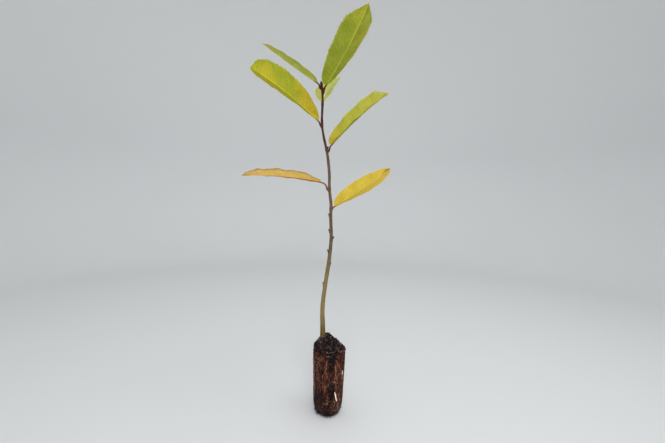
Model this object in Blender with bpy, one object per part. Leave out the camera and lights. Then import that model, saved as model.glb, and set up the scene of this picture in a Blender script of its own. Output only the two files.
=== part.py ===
"""A young nut-tree sapling, lifted from a forestry cell tray, standing on its root ball.

The root ball is the tapered eight-sided plug of one tray cell, bound by woody roots that run
down its corners.  A mound of loose soil crowns it, the slender stem stands in the mound, and
seven toothed leaves climb the upper third of the stem on a two-fifths spiral.

Frame: metres, +Z up, origin at the centre of the root ball's flat underside.  -Y is the front.
"""
import math
from collections import namedtuple

import bmesh
import bpy
import numpy as np

# ---------------------------------------------------------------- driving dimensions, metres
GAP = 0.0003                  # clearance between neighbouring pieces

# Root ball: the plug of a square tray cell with wide bevelled corners
PLUG_TOP = 0.0978             # height at which the root-bound plug ends and loose soil begins
RIM = 0.1015                  # height of the soil's outer rim
RIM_TO_BEVEL = 0.0238         # centre to a bevelled corner at the rim
RIM_TO_SIDE = 0.0220          # centre to a side at the rim
FOOT_SCALE = 0.865            # width at the foot, before its worn edge, as a share of the rim's
PLUG_LEAN = 0.0014            # how far the rim's centre leans to +X of the underside's
PLUG_TURN = 11.0              # degrees that the front corner is turned towards +X
CORNER_CRISPNESS = 26.0       # power of the rounded octagon: higher is sharper
PLUG_SIDES = 40
PLUG_LEVELS = 10
WORN_EDGE = ((0.0, 0.73), (0.0022, 0.81), (0.006, 0.905), (0.015, 1.0))   # height, share of width
PLUG_RIPPLE = 0.0004          # depth of the slow unevenness of the plug's sides
RIPPLE_WAVES = (5, 90.0, 3, -140.0)   # waves round and per metre up, of its two sines

# Surface roots: tubes half sunk in the plug
ROOT_SIDES = 6
ROOT_RINGS = 11
ROOT_SUNK = 0.35              # share of a root's radius that its centre lies below the surface
ROOT_END = 0.55               # a root's radius at its ends, as a share of its middle's
ROOT_SWAYS = 1.3              # waves a root makes to either side on its way
ROOT_PHASE = 0.31             # from one root to the next, in waves

# Mound of loose soil
CROWN_HEIGHT = 0.0191         # peak above the rim
CROWN_PEAK = (-0.0024, 0.0030)    # from the rim's centre
CROWN_RINGS = 6
CROWN_OUTER = 0.93            # first ring of the mound, as a share of the rim's outline
CROWN_INNER = 0.08
SKIRT_SHARE = 0.975           # outline of the mound's underside, as a share of the plug's
SKIRT_LIP = 0.0003            # how far the rim's edge lies below the rim
CROWN_LUMPS = ((0.0007, 4, 9.0), (0.0005, 7, -14.0))   # height, waves round, turn to the middle
SOCKET_REACH = 0.024          # from the stem's foot to above the mound
CROWN_STEEP_SIDE = 1.02       # power of the mound's slope on its +X side
CROWN_FULL_SIDE = 2.40        # and on its -X side, which bulges
RIM_DROP = 0.0030             # how much lower the rim lies on the +X side

# Stem
STEM_FOOT = 0.106             # height of the flat cut under the stem, sunk in the mound
STEM_TIP = 0.496
FOOT_DIAMETER = 0.0074
TIP_DIAMETER = 0.0031
TAPER_POWER = 1.3             # above one, the stem thins faster low down
ROOT_FLARE = 0.0014           # extra radius at the very foot
FLARE_HEIGHT = 0.014
NODE_SWELL = 0.0004           # extra radius where a leaf is carried
NODE_REACH = 0.0032
STEM_SIDES = 12
RING_PITCH = 0.0088           # spacing of the stem's rings
RING_CLOSEST = 0.0014

# Course of the stem's axis: height, then how far it leans to +X and to +Y
STEM_COURSE = (
    (0.106, -0.0088, 0.0000), (0.132, -0.0094, 0.0006), (0.160, -0.0102, 0.0012),
    (0.197, -0.0065, 0.0006), (0.234, -0.0014, -0.0006), (0.268, 0.0013, 0.0000),
    (0.300, 0.0002, 0.0012), (0.318, 0.0003, 0.0010), (0.343, -0.0024, -0.0004),
    (0.366, -0.0031, -0.0012), (0.397, -0.0069, -0.0022), (0.416, -0.0114, -0.0024),
    (0.437, -0.0150, -0.0014), (0.464, -0.0147, -0.0032), (0.484, -0.0149, -0.0026),
    (0.496, -0.0166, -0.0020),
)

# Leaves
LEAF_THICKNESS = 0.011        # share of the blade's length
TEETH = 15                    # teeth on each side of a blade
TOOTH_OUT = 0.035             # how far a tooth stands out of the outline, as a share of width
TOOTH_IN = 0.055              # how far the notch behind it cuts in
TOOTH_FORWARD = 0.35          # how far a tooth leans to the tip, in rows
COLUMNS = (-1.0, -0.55, -0.07, 0.0, 0.07, 0.55, 1.0)     # across a blade, margin to margin
WAVE = 0.0011                 # height of the blade's waves between midrib and margin
WAVES = 3.5
FOLD_AT_RIB = 1.18            # fold beside the midrib, as a share of the leaf's own
FOLD_AT_MARGIN = 0.82         # and at the margin
RIB_DEPTH = 0.0009            # how far the midrib stands out below the blade at its base
RIB_TIP = 0.0003              # and how much of it is left at the tip
NARROWEST = 0.6               # half the width at the ends, as a share of the thickness
PETIOLE_RADIUS = 0.0010
PETIOLE_FOOT = 1.25           # widening of the leaf stalk's foot
PETIOLE_ROWS = 4

# One leaf: height of its node, heading in degrees from +X, stalk length and the stalk's first
# rise, the blade's rise, droop and sweep along its length, length and width, the fold of the
# two halves, roll and twist about the midrib, how full the outline is at base and tip, the share
# of its length over which it runs straight to its point, and the share by which its left half is
# wider, and its right half narrower, than their mean.
Leaf = namedtuple(
    "Leaf", "name height heading stalk stalk_rise rise droop sweep length width "
            "fold roll twist base_power tip_power point lopsided")
LEAVES = (
    Leaf("leaf_1", .3136, -53, .0062, 44, 17.0, -9.0, -8, .1255, .036, 40, -16, -14, .55, .76, .05, .09),
    Leaf("leaf_2", .3425, 155, .0148, 85, 11.5, 13.0, 9, .1470, .042, 20, 24, -15, .41, .43, .18, -.08),
    Leaf("leaf_3", .3996, 26, .0102, 83, 48.0, 9.0, -16, .1265, .047, 30, 6, 27, .37, .26, .08, .01),
    Leaf("leaf_4", .4366, -141, .0063, 80, 32.5, 8.5, -16, .1155, .053, 23, -2, 15, .70, .39, .03, .06),
    Leaf("leaf_5", .4671, 89, .0069, 54, 38.0, 5.0, -27, .1345, .032, 15, 0, 0, .62, .65, .19, .19),
    Leaf("leaf_6", .4846, -57, .0096, 71, 27.0, -8.5, -7, .1200, .051, 25, 13, -5, .43, .31, .19, .11),
    Leaf("leaf_7", .4912, 157, .0097, 86, 36.0, -2.0, -10, .1315, .0225, 34, 20, 12, .35, .66, .12, -.01),
)

# Buds on the bare stem and in the leaf axils: height, heading, length, radius
Bud = namedtuple("Bud", "height heading length radius")
BUDS = (
    Bud(0.198, 170, 0.0035, 0.0010), Bud(0.229, 25, 0.0034, 0.0012), Bud(0.248, -165, 0.0045, 0.0012),
    Bud(0.268, -20, 0.0046, 0.0013), Bud(0.279, 165, 0.0040, 0.0013), Bud(0.303, -175, 0.0034, 0.0012),
    Bud(0.402, -35, 0.0042, 0.0013), Bud(0.441, -60, 0.0036, 0.0012), Bud(0.491, -130, 0.0048, 0.0016),
    Bud(0.488, 35, 0.0044, 0.0015),
)
BUD_LEAN = 32.0               # degrees between a side bud and the stem
TERMINAL_BUD = (0.0066, 0.0021)   # length and radius
BUD_SIDES = 6
BUD_SHARES = (0.0, 0.2, 0.45, 0.75, 1.0)
BUD_SUNK = 0.4                # share of a side bud's radius that its foot is sunk in the stem
TERMINAL_SUNK = 0.0016
TIP_COURSE = 0.006            # length at the stem's tip that the terminal bud follows

# Roots that show on the plug: heading on the plug's own octagon, height span, radius, wander
SurfaceRoot = namedtuple("SurfaceRoot", "heading low high radius wander")
CORNER = 22.5                 # degrees from a bevel's middle to the plug's edge
SURFACE_ROOTS = (
    SurfaceRoot(-90 - CORNER, 0.004, 0.090, 0.0011, 2.0),
    SurfaceRoot(-90 + CORNER, 0.006, 0.091, 0.0010, 3.0),
    SurfaceRoot(-156, 0.010, 0.076, 0.0014, 3.0),
    SurfaceRoot(-42, 0.012, 0.090, 0.0012, 4.0),
    SurfaceRoot(-20, 0.030, 0.091, 0.0009, 3.0),
    SurfaceRoot(0 + CORNER, 0.004, 0.088, 0.0011, 3.0),
    SurfaceRoot(48, 0.014, 0.090, 0.0012, 4.0),
    SurfaceRoot(90 - CORNER, 0.004, 0.084, 0.0010, 2.5),
    SurfaceRoot(90 + CORNER, 0.008, 0.091, 0.0011, 3.0),
    SurfaceRoot(140, 0.010, 0.080, 0.0013, 4.0),
    SurfaceRoot(180 + CORNER, 0.006, 0.090, 0.0010, 2.5),
)
STUB_LOW = (-52.5, 0.0262)    # the ivory root stub: heading and height of its lower end
STUB_HIGH = (-65.0, 0.0413)
STUB_RADIUS = 0.0009
STUB_RINGS = 4

# ---------------------------------------------------------------- colours, roughness
SMOOTH_BELOW = 35.0           # degrees between faces that are shaded as one
FINISHES = {
    "root_ball": ((0.055, 0.022, 0.014), 0.88),
    "soil_crown": ((0.016, 0.011, 0.010), 0.95),
    "stem": ((0.165, 0.105, 0.055), 0.60),
    "leaf_1": ((0.64, 0.42, 0.07), 0.50),
    "leaf_2": ((0.60, 0.33, 0.09), 0.55),
    "leaf_3": ((0.40, 0.40, 0.06), 0.48),
    "leaf_4": ((0.40, 0.38, 0.03), 0.48),
    "leaf_5": ((0.45, 0.46, 0.15), 0.50),
    "leaf_6": ((0.23, 0.30, 0.025), 0.45),
    "leaf_7": ((0.28, 0.31, 0.08), 0.48),
}


# ---------------------------------------------------------------- Blender helpers
def clear_scene():
    for item in list(bpy.data.objects):
        bpy.data.objects.remove(item, do_unlink=True)


def material(name):
    colour, roughness = FINISHES[name]
    made = bpy.data.materials.new(name)
    made.use_nodes = True
    shader = made.node_tree.nodes["Principled BSDF"]
    shader.inputs["Base Color"].default_value = (*colour, 1.0)
    shader.inputs["Roughness"].default_value = roughness
    shader.inputs["Metallic"].default_value = 0.0
    return made


def loft(name, rings):
    """A closed solid through rings of equal length, with its first and last ring capped."""
    mesh = bmesh.new()
    rows = [[mesh.verts.new(point) for point in ring] for ring in rings]
    count = len(rows[0])
    for lower, upper in zip(rows, rows[1:]):
        for i in range(count):
            j = (i + 1) % count
            mesh.faces.new((lower[i], lower[j], upper[j], upper[i]))
    mesh.faces.new(rows[0][::-1])
    mesh.faces.new(rows[-1])
    bmesh.ops.recalc_face_normals(mesh, faces=mesh.faces[:])
    data = bpy.data.meshes.new(name)
    mesh.to_mesh(data)
    mesh.free()
    made = bpy.data.objects.new(name, data)
    bpy.context.scene.collection.objects.link(made)
    return made


def boolean(target, tools, operation):
    """Joins to, or cuts from, the target all the tools at once, then removes them."""
    group = bpy.data.collections.new(target.name + "_tools")
    bpy.context.scene.collection.children.link(group)
    for tool in tools:
        tool.hide_render = True
        tool.display_type = "WIRE"
        group.objects.link(tool)
        bpy.context.scene.collection.objects.unlink(tool)
    change = target.modifiers.new(operation.lower(), "BOOLEAN")
    change.operation = operation
    change.operand_type = "COLLECTION"
    change.collection = group
    change.solver = "EXACT"
    bpy.context.view_layer.objects.active = target
    bpy.ops.object.modifier_apply(modifier=change.name)
    for tool in tools:
        bpy.data.objects.remove(tool, do_unlink=True)
    bpy.data.collections.remove(group)


def finish(made):
    made.data.materials.clear()
    made.data.materials.append(material(made.name))
    made.data.shade_smooth()
    made.data.set_sharp_from_angle(angle=math.radians(SMOOTH_BELOW))


# ---------------------------------------------------------------- curves
def smooth_through(table, at):
    """Values of a table's columns at the given heights, on one smooth curve (cubic Hermite)."""
    table = np.array(table)
    knots = table[:, 0]
    i = np.clip(np.searchsorted(knots, at, side="right") - 1, 0, len(knots) - 2)
    span = knots[i + 1] - knots[i]
    t = (at - knots[i]) / span
    columns = []
    for column in table[:, 1:].T:
        chord = np.diff(column) / np.diff(knots)
        slope = np.concatenate(([chord[0]], (chord[:-1] + chord[1:]) / 2, [chord[-1]]))
        start = (2 * t**3 - 3 * t**2 + 1) * column[i] + (t**3 - 2 * t**2 + t) * span * slope[i]
        end = (3 * t**2 - 2 * t**3) * column[i + 1] + (t**3 - t**2) * span * slope[i + 1]
        columns.append(start + end)
    return np.stack(columns, axis=-1)


def stem_axis(height):
    """The point of the stem's axis at a height."""
    height = np.asarray(height, dtype=float)
    lean = smooth_through(STEM_COURSE, height)
    return np.stack((lean[..., 0], lean[..., 1], height), axis=-1)


def stem_radius(height):
    """Smooth taper, plus a flare at the foot and a swelling at every leaf's node."""
    height = np.asarray(height, dtype=float)
    share = np.minimum((height - STEM_FOOT) / (STEM_TIP - STEM_FOOT), 1.0)
    radius = (TIP_DIAMETER + (FOOT_DIAMETER - TIP_DIAMETER) * (1 - share) ** TAPER_POWER) / 2
    radius = radius + ROOT_FLARE * np.exp(-(height - STEM_FOOT) / FLARE_HEIGHT)
    for leaf in LEAVES:
        radius = radius + NODE_SWELL * np.exp(-((height - leaf.height) / NODE_REACH) ** 2)
    return radius


def heading_vector(heading):
    angle = math.radians(heading)
    return np.array((math.cos(angle), math.sin(angle), 0.0))


def plug_radius(angle, level):
    """Centre to the plug's side: a rounded octagon, narrowing evenly to the underside."""
    grown = FOOT_SCALE + (1.0 - FOOT_SCALE) * level / RIM
    total = 0.0
    for side in range(8):
        facing = math.radians(PLUG_TURN - 90.0 + 45.0 * side)
        reach = RIM_TO_BEVEL if side % 2 == 0 else RIM_TO_SIDE
        total = total + (np.maximum(np.cos(angle - facing), 0.0) / (reach * grown)) ** CORNER_CRISPNESS
    return total ** (-1.0 / CORNER_CRISPNESS)


# ---------------------------------------------------------------- root ball
def around_axis(angles, reach, levels):
    """Points at a heading and a reach from the plug's leaning axis, at the given heights."""
    levels = np.broadcast_to(levels, angles.shape)
    x = reach * np.cos(angles) + PLUG_LEAN * levels / RIM
    return np.stack((x, reach * np.sin(angles), levels), axis=-1)


def surface_root(name, angles, levels, radius):
    """A tube that follows the plug's side, its centre a little below the surface."""
    reach = plug_radius(angles, levels) - radius * ROOT_SUNK
    middle = around_axis(angles, reach, levels)
    along = np.gradient(middle, axis=0)
    along /= np.linalg.norm(along, axis=1)[:, None]
    out = np.stack((np.cos(angles), np.sin(angles), np.zeros(len(angles))), axis=-1)
    side = np.cross(along, out)
    side /= np.linalg.norm(side, axis=1)[:, None]
    out = np.cross(side, along)
    share = np.linspace(0.0, 1.0, len(angles))
    size = radius * (ROOT_END + (1.0 - ROOT_END) * np.sin(math.pi * share) ** 0.5)
    rings = []
    for step in range(ROOT_SIDES):
        turn = 2 * math.pi * step / ROOT_SIDES
        rings.append(middle + size[:, None] * (side * math.cos(turn) + out * math.sin(turn)))
    return loft(name, np.stack(rings, axis=1))


def make_root_ball():
    angles = np.arange(PLUG_SIDES) * (2 * math.pi / PLUG_SIDES)
    worn_heights, worn_shares = zip(*WORN_EDGE)
    levels = np.concatenate((worn_heights, np.linspace(worn_heights[-1], PLUG_TOP, PLUG_LEVELS)[1:]))
    first, rise, second, fall = RIPPLE_WAVES
    rings = []
    for level in levels:
        reach = plug_radius(angles, level) * np.interp(level, worn_heights, worn_shares)
        ripple = np.sin(first * angles + rise * level) * np.sin(second * angles + fall * level)
        rings.append(around_axis(angles, reach + PLUG_RIPPLE * ripple, level))
    plug = loft("root_ball", rings)
    roots = []
    share = np.linspace(0.0, 1.0, ROOT_RINGS)
    for number, root in enumerate(SURFACE_ROOTS):
        sway = root.wander * np.sin(2 * math.pi * (ROOT_SWAYS * share + ROOT_PHASE * number))
        headings = np.radians(root.heading + PLUG_TURN + sway)
        levels = np.linspace(root.low, root.high, ROOT_RINGS)
        roots.append(surface_root("root", headings, levels, root.radius))
    share = np.linspace(0.0, 1.0, STUB_RINGS)
    headings = STUB_LOW[0] + (STUB_HIGH[0] - STUB_LOW[0]) * share
    levels = STUB_LOW[1] + (STUB_HIGH[1] - STUB_LOW[1]) * share
    roots.append(surface_root("stub", np.radians(headings), levels, STUB_RADIUS))
    boolean(plug, roots, "UNION")
    finish(plug)


def make_soil_crown():
    """A mound over the plug: a short skirt in the plug's outline, then a bulging cone."""
    angles = np.arange(PLUG_SIDES) * (2 * math.pi / PLUG_SIDES)
    outline = plug_radius(angles, RIM)
    right = (1.0 + np.cos(angles)) / 2
    rim = RIM - RIM_DROP * right
    rings = [around_axis(angles, SKIRT_SHARE * plug_radius(angles, PLUG_TOP), PLUG_TOP + GAP),
             around_axis(angles, outline, rim - SKIRT_LIP)]
    power = CROWN_FULL_SIDE + (CROWN_STEEP_SIDE - CROWN_FULL_SIDE) * right
    for share in np.linspace(CROWN_OUTER, CROWN_INNER, CROWN_RINGS):
        rise = (RIM + CROWN_HEIGHT - rim) * (1.0 - share ** power)
        lumps = sum(size * np.sin(waves * angles + turn * share) for size, waves, turn in CROWN_LUMPS)
        ring = around_axis(angles, outline * share, rim + rise + lumps * share)
        rings.append(ring + np.array((*CROWN_PEAK, 0.0)) * (1 - share))
    crown = loft("soil_crown", rings)
    clearance = GAP / math.cos(math.pi / STEM_SIDES)
    socket = stem_loft("socket", np.linspace(STEM_FOOT - GAP, STEM_FOOT + SOCKET_REACH, 6), clearance)
    boolean(crown, [socket], "DIFFERENCE")
    finish(crown)


# ---------------------------------------------------------------- stem and buds
def stem_loft(name, heights, extra):
    """Level rings round the stem's axis, their radius enlarged by a clearance."""
    centre = stem_axis(np.clip(heights, STEM_FOOT, STEM_TIP))
    centre[:, 2] = heights
    radius = stem_radius(np.maximum(heights, STEM_FOOT)) + extra
    turn = np.arange(STEM_SIDES) * (2 * math.pi / STEM_SIDES)
    circle = np.stack((np.cos(turn), np.sin(turn), np.zeros(STEM_SIDES)), axis=-1)
    return loft(name, centre[:, None, :] + radius[:, None, None] * circle)


def bud_solid(root, direction, length, radius):
    """A pointed egg: radius follows a sine that is fullest at two fifths of the length."""
    side = np.cross(direction, (0.0, 0.0, 1.0) if abs(direction[2]) < 0.99 else (1.0, 0.0, 0.0))
    side /= np.linalg.norm(side)
    other = np.cross(direction, side)
    rings = []
    for share in BUD_SHARES:
        size = radius * max(math.sin(math.pi * min(0.25 + 0.75 * share, 0.96)), 0.12)
        turn = np.arange(BUD_SIDES) * (2 * math.pi / BUD_SIDES)
        circle = np.outer(np.cos(turn), side) + np.outer(np.sin(turn), other)
        rings.append(root + direction * (length * share) + size * circle)
    return loft("bud", rings)


def make_stem():
    count = int(round((STEM_TIP - STEM_FOOT) / RING_PITCH))
    heights = list(np.linspace(STEM_FOOT, STEM_TIP, count))
    heights += [leaf.height for leaf in LEAVES]
    heights = np.array(sorted(heights))
    close = np.concatenate(([True], np.diff(heights) > RING_CLOSEST))
    stem = stem_loft("stem", heights[close], 0.0)
    buds = []
    for bud in BUDS:
        out = heading_vector(bud.heading)
        root = stem_axis(bud.height) + out * (stem_radius(bud.height) - BUD_SUNK * bud.radius)
        lean = math.radians(BUD_LEAN)
        direction = out * math.sin(lean) + np.array((0.0, 0.0, math.cos(lean)))
        buds.append(bud_solid(root, direction, bud.length, bud.radius))
    top = stem_axis(STEM_TIP)
    course = top - stem_axis(STEM_TIP - TIP_COURSE)
    course /= np.linalg.norm(course)
    buds.append(bud_solid(top - course * TERMINAL_SUNK, course, *TERMINAL_BUD))
    boolean(stem, buds, "UNION")
    finish(stem)


# ---------------------------------------------------------------- leaves
def outline_width(share, leaf):
    """Half the blade's width along its length: share^a (1 - share)^b, scaled to the full width.
    From a certain distance to the tip the second power becomes a straight line."""
    a, b = leaf.base_power, leaf.tip_power
    widest = a / (a + b)
    full = widest**a * (1 - widest) ** b
    left = 1 - share
    closing = np.where(left < leaf.point, leaf.point ** (b - 1) * left, left**b)
    return leaf.width / 2 * share**a * closing / full


def leaf_frames(heading, rise):
    """Along, side and up directions of a midrib from its heading and rise in radians."""
    along = np.stack((np.cos(rise) * np.cos(heading), np.cos(rise) * np.sin(heading), np.sin(rise)), -1)
    side = np.stack((-np.sin(heading), np.cos(heading), np.zeros_like(heading)), -1)
    return along, side, np.cross(along, side)


def run_along(start, along, length):
    """Points that start at a place and step along the given directions for a length."""
    steps = (along[1:] + along[:-1]) / 2 * (length / (len(along) - 1))
    return start + np.concatenate((np.zeros((1, 3)), np.cumsum(steps, axis=0)))


def stalk_rings(leaf):
    """Rings of the leaf stalk, from 0.3 mm off the stem to the foot of the blade."""
    share = np.linspace(0.0, 1.0, PETIOLE_ROWS + 1)
    heading = np.full(len(share), math.radians(leaf.heading))
    rise = np.radians(leaf.stalk_rise + (leaf.rise - leaf.stalk_rise) * share)
    along, side, up = leaf_frames(heading, rise)
    foot = PETIOLE_RADIUS * PETIOLE_FOOT
    offset = stem_radius(leaf.height) + GAP + foot * math.sin(rise[0])
    root = stem_axis(leaf.height) + heading_vector(leaf.heading) * offset
    middle = run_along(root, along, leaf.stalk)
    size = PETIOLE_RADIUS * (1.0 + (PETIOLE_FOOT - 1.0) * (1.0 - share) ** 2)
    half = len(COLUMNS)
    turn = np.concatenate((np.linspace(165, 15, half), np.linspace(-15, -165, half)))
    turn = np.radians(turn)
    ring = side[:, None, :] * -np.cos(turn)[:, None] + up[:, None, :] * np.sin(turn)[:, None]
    return middle[:, None, :] + size[:, None, None] * ring, middle[-1]


def blade_rings(leaf, start):
    """Rings round the blade: across its top from margin to margin, and back below."""
    rows = 2 * TEETH + 1
    row = np.arange(1, rows + 2)
    share = row / (rows + 1)
    even = np.linspace(0.0, 1.0, 81)
    along, _, _ = leaf_frames(np.radians(leaf.heading + leaf.sweep * even),
                              np.radians(leaf.rise - leaf.droop * even))
    spine = run_along(start, along, leaf.length)
    middle = np.stack([np.interp(share, even, spine[:, axis]) for axis in range(3)], axis=-1)
    along, side, up = leaf_frames(np.radians(leaf.heading + leaf.sweep * share),
                                  np.radians(leaf.rise - leaf.droop * share))
    roll = np.radians(leaf.roll + leaf.twist * share)[:, None]
    side, up = side * np.cos(roll) + up * np.sin(roll), up * np.cos(roll) - side * np.sin(roll)

    thickness = LEAF_THICKNESS * leaf.length
    tooth = (row % 2 == 0) & (row < rows)
    half_width = outline_width(share, leaf) * np.where(tooth, 1 + TOOTH_OUT, 1 - TOOTH_IN)
    half_width = np.maximum(half_width, thickness * NARROWEST)
    forward = TOOTH_FORWARD * leaf.length / rows * tooth
    rib = RIB_DEPTH * (1 - share) + RIB_TIP
    top, below = [], []
    for across in COLUMNS:
        fold = FOLD_AT_RIB + (FOLD_AT_MARGIN - FOLD_AT_RIB) * abs(across)
        fold = math.radians(leaf.fold) * fold
        out = abs(across) * half_width * (1 + np.sign(across) * leaf.lopsided)
        wave = WAVE * math.sin(math.pi * abs(across)) * np.sin(2 * math.pi * WAVES * share + across)
        wave = wave * np.minimum(half_width / leaf.width * 4, 1.0)
        lean = np.sign(across) * math.sin(fold)
        normal = up * math.cos(fold if across else 0.0) - side * lean
        point = middle + side * (np.sign(across) * out * math.cos(fold))[:, None]
        point = point + up * (out * math.sin(fold) + wave)[:, None]
        point = point + along * (forward * abs(across) ** 4)[:, None]
        top.append(point + normal * (thickness / 2))
        sink = thickness / 2 + (rib if across == 0.0 else 0.0)
        below.append(point - normal * np.broadcast_to(sink, share.shape)[:, None])
    return np.stack(top + below[::-1], axis=1)


def make_leaf(leaf):
    stalk, start = stalk_rings(leaf)
    made = loft(leaf.name, np.concatenate((stalk, blade_rings(leaf, start))))
    finish(made)


def main():
    clear_scene()
    make_root_ball()
    make_soil_crown()
    make_stem()
    for leaf in LEAVES:
        make_leaf(leaf)


main()
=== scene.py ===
"""Dresses the packed sapling: root-bound plug, crumbly soil, bark, buds and autumn leaves.

The plant follows the same rule as its solids: a tapered eight-sided plug, a mound of soil, a
slender stem and seven toothed leaves on a two-fifths spiral.  Every surface is worked out with
numpy on a grid of two parameters, and every finish is made of shader nodes.
"""

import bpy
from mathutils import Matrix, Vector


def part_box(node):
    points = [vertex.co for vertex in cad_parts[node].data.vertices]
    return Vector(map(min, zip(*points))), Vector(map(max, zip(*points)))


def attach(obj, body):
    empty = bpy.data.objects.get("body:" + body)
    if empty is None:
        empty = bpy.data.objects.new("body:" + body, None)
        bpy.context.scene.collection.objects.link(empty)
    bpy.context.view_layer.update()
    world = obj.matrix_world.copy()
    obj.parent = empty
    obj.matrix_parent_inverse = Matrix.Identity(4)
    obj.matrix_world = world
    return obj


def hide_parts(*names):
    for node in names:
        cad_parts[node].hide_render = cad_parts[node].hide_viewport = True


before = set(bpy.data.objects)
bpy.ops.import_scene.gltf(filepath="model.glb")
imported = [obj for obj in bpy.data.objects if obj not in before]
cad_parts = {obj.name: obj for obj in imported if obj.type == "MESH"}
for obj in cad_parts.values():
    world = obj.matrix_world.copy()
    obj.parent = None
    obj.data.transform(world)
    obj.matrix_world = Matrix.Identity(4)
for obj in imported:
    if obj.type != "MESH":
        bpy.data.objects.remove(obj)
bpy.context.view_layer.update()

import math
from collections import namedtuple

import bpy
import numpy as np
from mathutils import Matrix, Vector

bl_info = {
    "name": "Sapling with root ball",
    "version": (1, 0, 0),
    "blender": (4, 5, 0),
    "location": "3D View > Sidebar > Sapling",
    "description": "Dresses a young nut-tree sapling: root plug, soil, bark, buds and leaves",
    "category": "Add Mesh",
}

# ---------------------------------------------------------------- the plant's rule
# Lengths are in metres and angles in degrees.
UP = np.array((0.0, 0.0, 1.0))
GROUND_GAP = 0.0002           # least height of anything above the surface it stands on

PLUG_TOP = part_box("root_ball")[1].z
RIM = 0.1015                  # height of the soil's outer rim
RIM_TO_BEVEL = 0.0238         # centre to a bevelled corner at the rim
RIM_TO_SIDE = 0.0220          # centre to a side at the rim
FOOT_SCALE = 0.865            # width at the foot as a share of the rim's
PLUG_LEAN = 0.0014            # how far the rim's centre leans to +X
PLUG_TURN = 11.0              # degrees that the front corner is turned towards +X
CORNER_CRISPNESS = 26.0       # power of the rounded octagon
CORNER = 22.5                 # degrees from a bevel's middle to the plug's edge
WORN_EDGE = ((0.0, 0.73), (0.0022, 0.81), (0.006, 0.905), (0.015, 1.0))   # height, share of width

CROWN_HEIGHT = 0.0191         # peak of the soil above its rim
CROWN_PEAK = (-0.0024, 0.0030, 0.0)
CROWN_STEEP_SIDE = 1.02       # power of the mound's slope on its +X side
CROWN_FULL_SIDE = 2.40        # and on its -X side, which bulges
CROWN_LUMPS = ((0.0007, 4, 9.0), (0.0005, 7, -14.0))   # height, waves round, turn to the middle
RIM_DROP = 0.0030             # how much lower the rim lies on the +X side

STEM_FOOT = 0.106
STEM_TIP = 0.496
FOOT_DIAMETER = 0.0074
TIP_DIAMETER = 0.0031
TAPER_POWER = 1.3
ROOT_FLARE = 0.0014
FLARE_HEIGHT = 0.014
NODE_SWELL = 0.0004           # how much thicker the stem is at a leaf
NODE_REACH = 0.0032           # and how far up and down

# Course of the stem's axis: height, then how far it leans to +X and to +Y
STEM_COURSE = (
    (0.106, -0.0088, 0.0000), (0.132, -0.0094, 0.0006), (0.160, -0.0102, 0.0012),
    (0.197, -0.0065, 0.0006), (0.234, -0.0014, -0.0006), (0.268, 0.0013, 0.0000),
    (0.300, 0.0002, 0.0012), (0.318, 0.0003, 0.0010), (0.343, -0.0024, -0.0004),
    (0.366, -0.0031, -0.0012), (0.397, -0.0069, -0.0022), (0.416, -0.0114, -0.0024),
    (0.437, -0.0150, -0.0014), (0.464, -0.0147, -0.0032), (0.484, -0.0149, -0.0026),
    (0.496, -0.0166, -0.0020),
)

# One leaf: height of its node, heading in degrees from +X, stalk length and the stalk's first
# rise, the blade's rise, droop and sweep along its length, length and width, the fold of the
# two halves, roll and twist about the midrib, how full the outline is at base and tip, the share
# of its length over which it runs straight to its point, and the share by which its left half is
# wider, and its right half narrower, than their mean.
Leaf = namedtuple(
    "Leaf", "name height heading stalk stalk_rise rise droop sweep length width "
            "fold roll twist base_power tip_power point lopsided")
LEAVES = [Leaf(*row) for row in (
    ("leaf_1", .3136, -53, .0062, 44, 17.0, -9.0, -8,
     .1255, .036, 40, -16, -14, .55, .76, .05, .09),
    ("leaf_2", .3425, 155, .0148, 85, 11.5, 13.0, 9,
     .1470, .042, 20, 24, -15, .41, .43, .18, -.08),
    ("leaf_3", .3996, 26, .0102, 83, 48.0, 9.0, -16,
     .1265, .047, 30, 6, 27, .37, .26, .08, .01),
    ("leaf_4", .4366, -141, .0063, 80, 32.5, 8.5, -16,
     .1155, .053, 23, -2, 15, .70, .39, .03, .06),
    ("leaf_5", .4671, 89, .0069, 54, 38.0, 5.0, -27,
     .1345, .032, 15, 0, 0, .62, .65, .19, .19),
    ("leaf_6", .4846, -57, .0096, 71, 27.0, -8.5, -7,
     .1200, .051, 25, 13, -5, .43, .31, .19, .11),
    ("leaf_7", .4912, 157, .0097, 86, 36.0, -2.0, -10,
     .1315, .0225, 34, 20, 12, .35, .66, .12, -.01),
)]
RUFFLE_SHARES = {"leaf_2": 2.2, "leaf_3": 1.8}    # blades whose margins wave more than the rest
RUFFLE_PHASE = 1.7            # how far the ruffles move on from one leaf to the next, in radians
WAVE = 0.0011                 # height of a blade's waves between midrib and margin
WAVES = 3.5                   # how many there are along the blade
LEAF_GAP = 0.0003             # between the stem and a stalk's first point
STALK_RADIUS = 0.0010
STALK_FOOT = 1.25             # the foot's radius, as a share of the stalk's

# Buds on the bare stem and in the leaf axils: height, heading, length, radius
Bud = namedtuple("Bud", "height heading length radius")
BUDS = [Bud(*row) for row in (
    (0.198, 170, 0.0035, 0.0010), (0.229, 25, 0.0034, 0.0012),
    (0.248, -165, 0.0045, 0.0012), (0.268, -20, 0.0046, 0.0013),
    (0.279, 165, 0.0040, 0.0013), (0.303, -175, 0.0034, 0.0012),
    (0.402, -35, 0.0042, 0.0013), (0.441, -60, 0.0036, 0.0012),
    (0.491, -130, 0.0048, 0.0016), (0.488, 35, 0.0044, 0.0015),
)]
BUD_LEAN = 32.0               # degrees that a bud leans out from the upright
BUD_SUNK = 0.35               # share of its radius by which a bud is sunk in the stem
TERMINAL_BUD = (0.0066, 0.0021)   # length, radius
TERMINAL_SUNK = 0.0016
LAST_SHOOT = 0.006            # height of the stem's end that the terminal bud carries on

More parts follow.
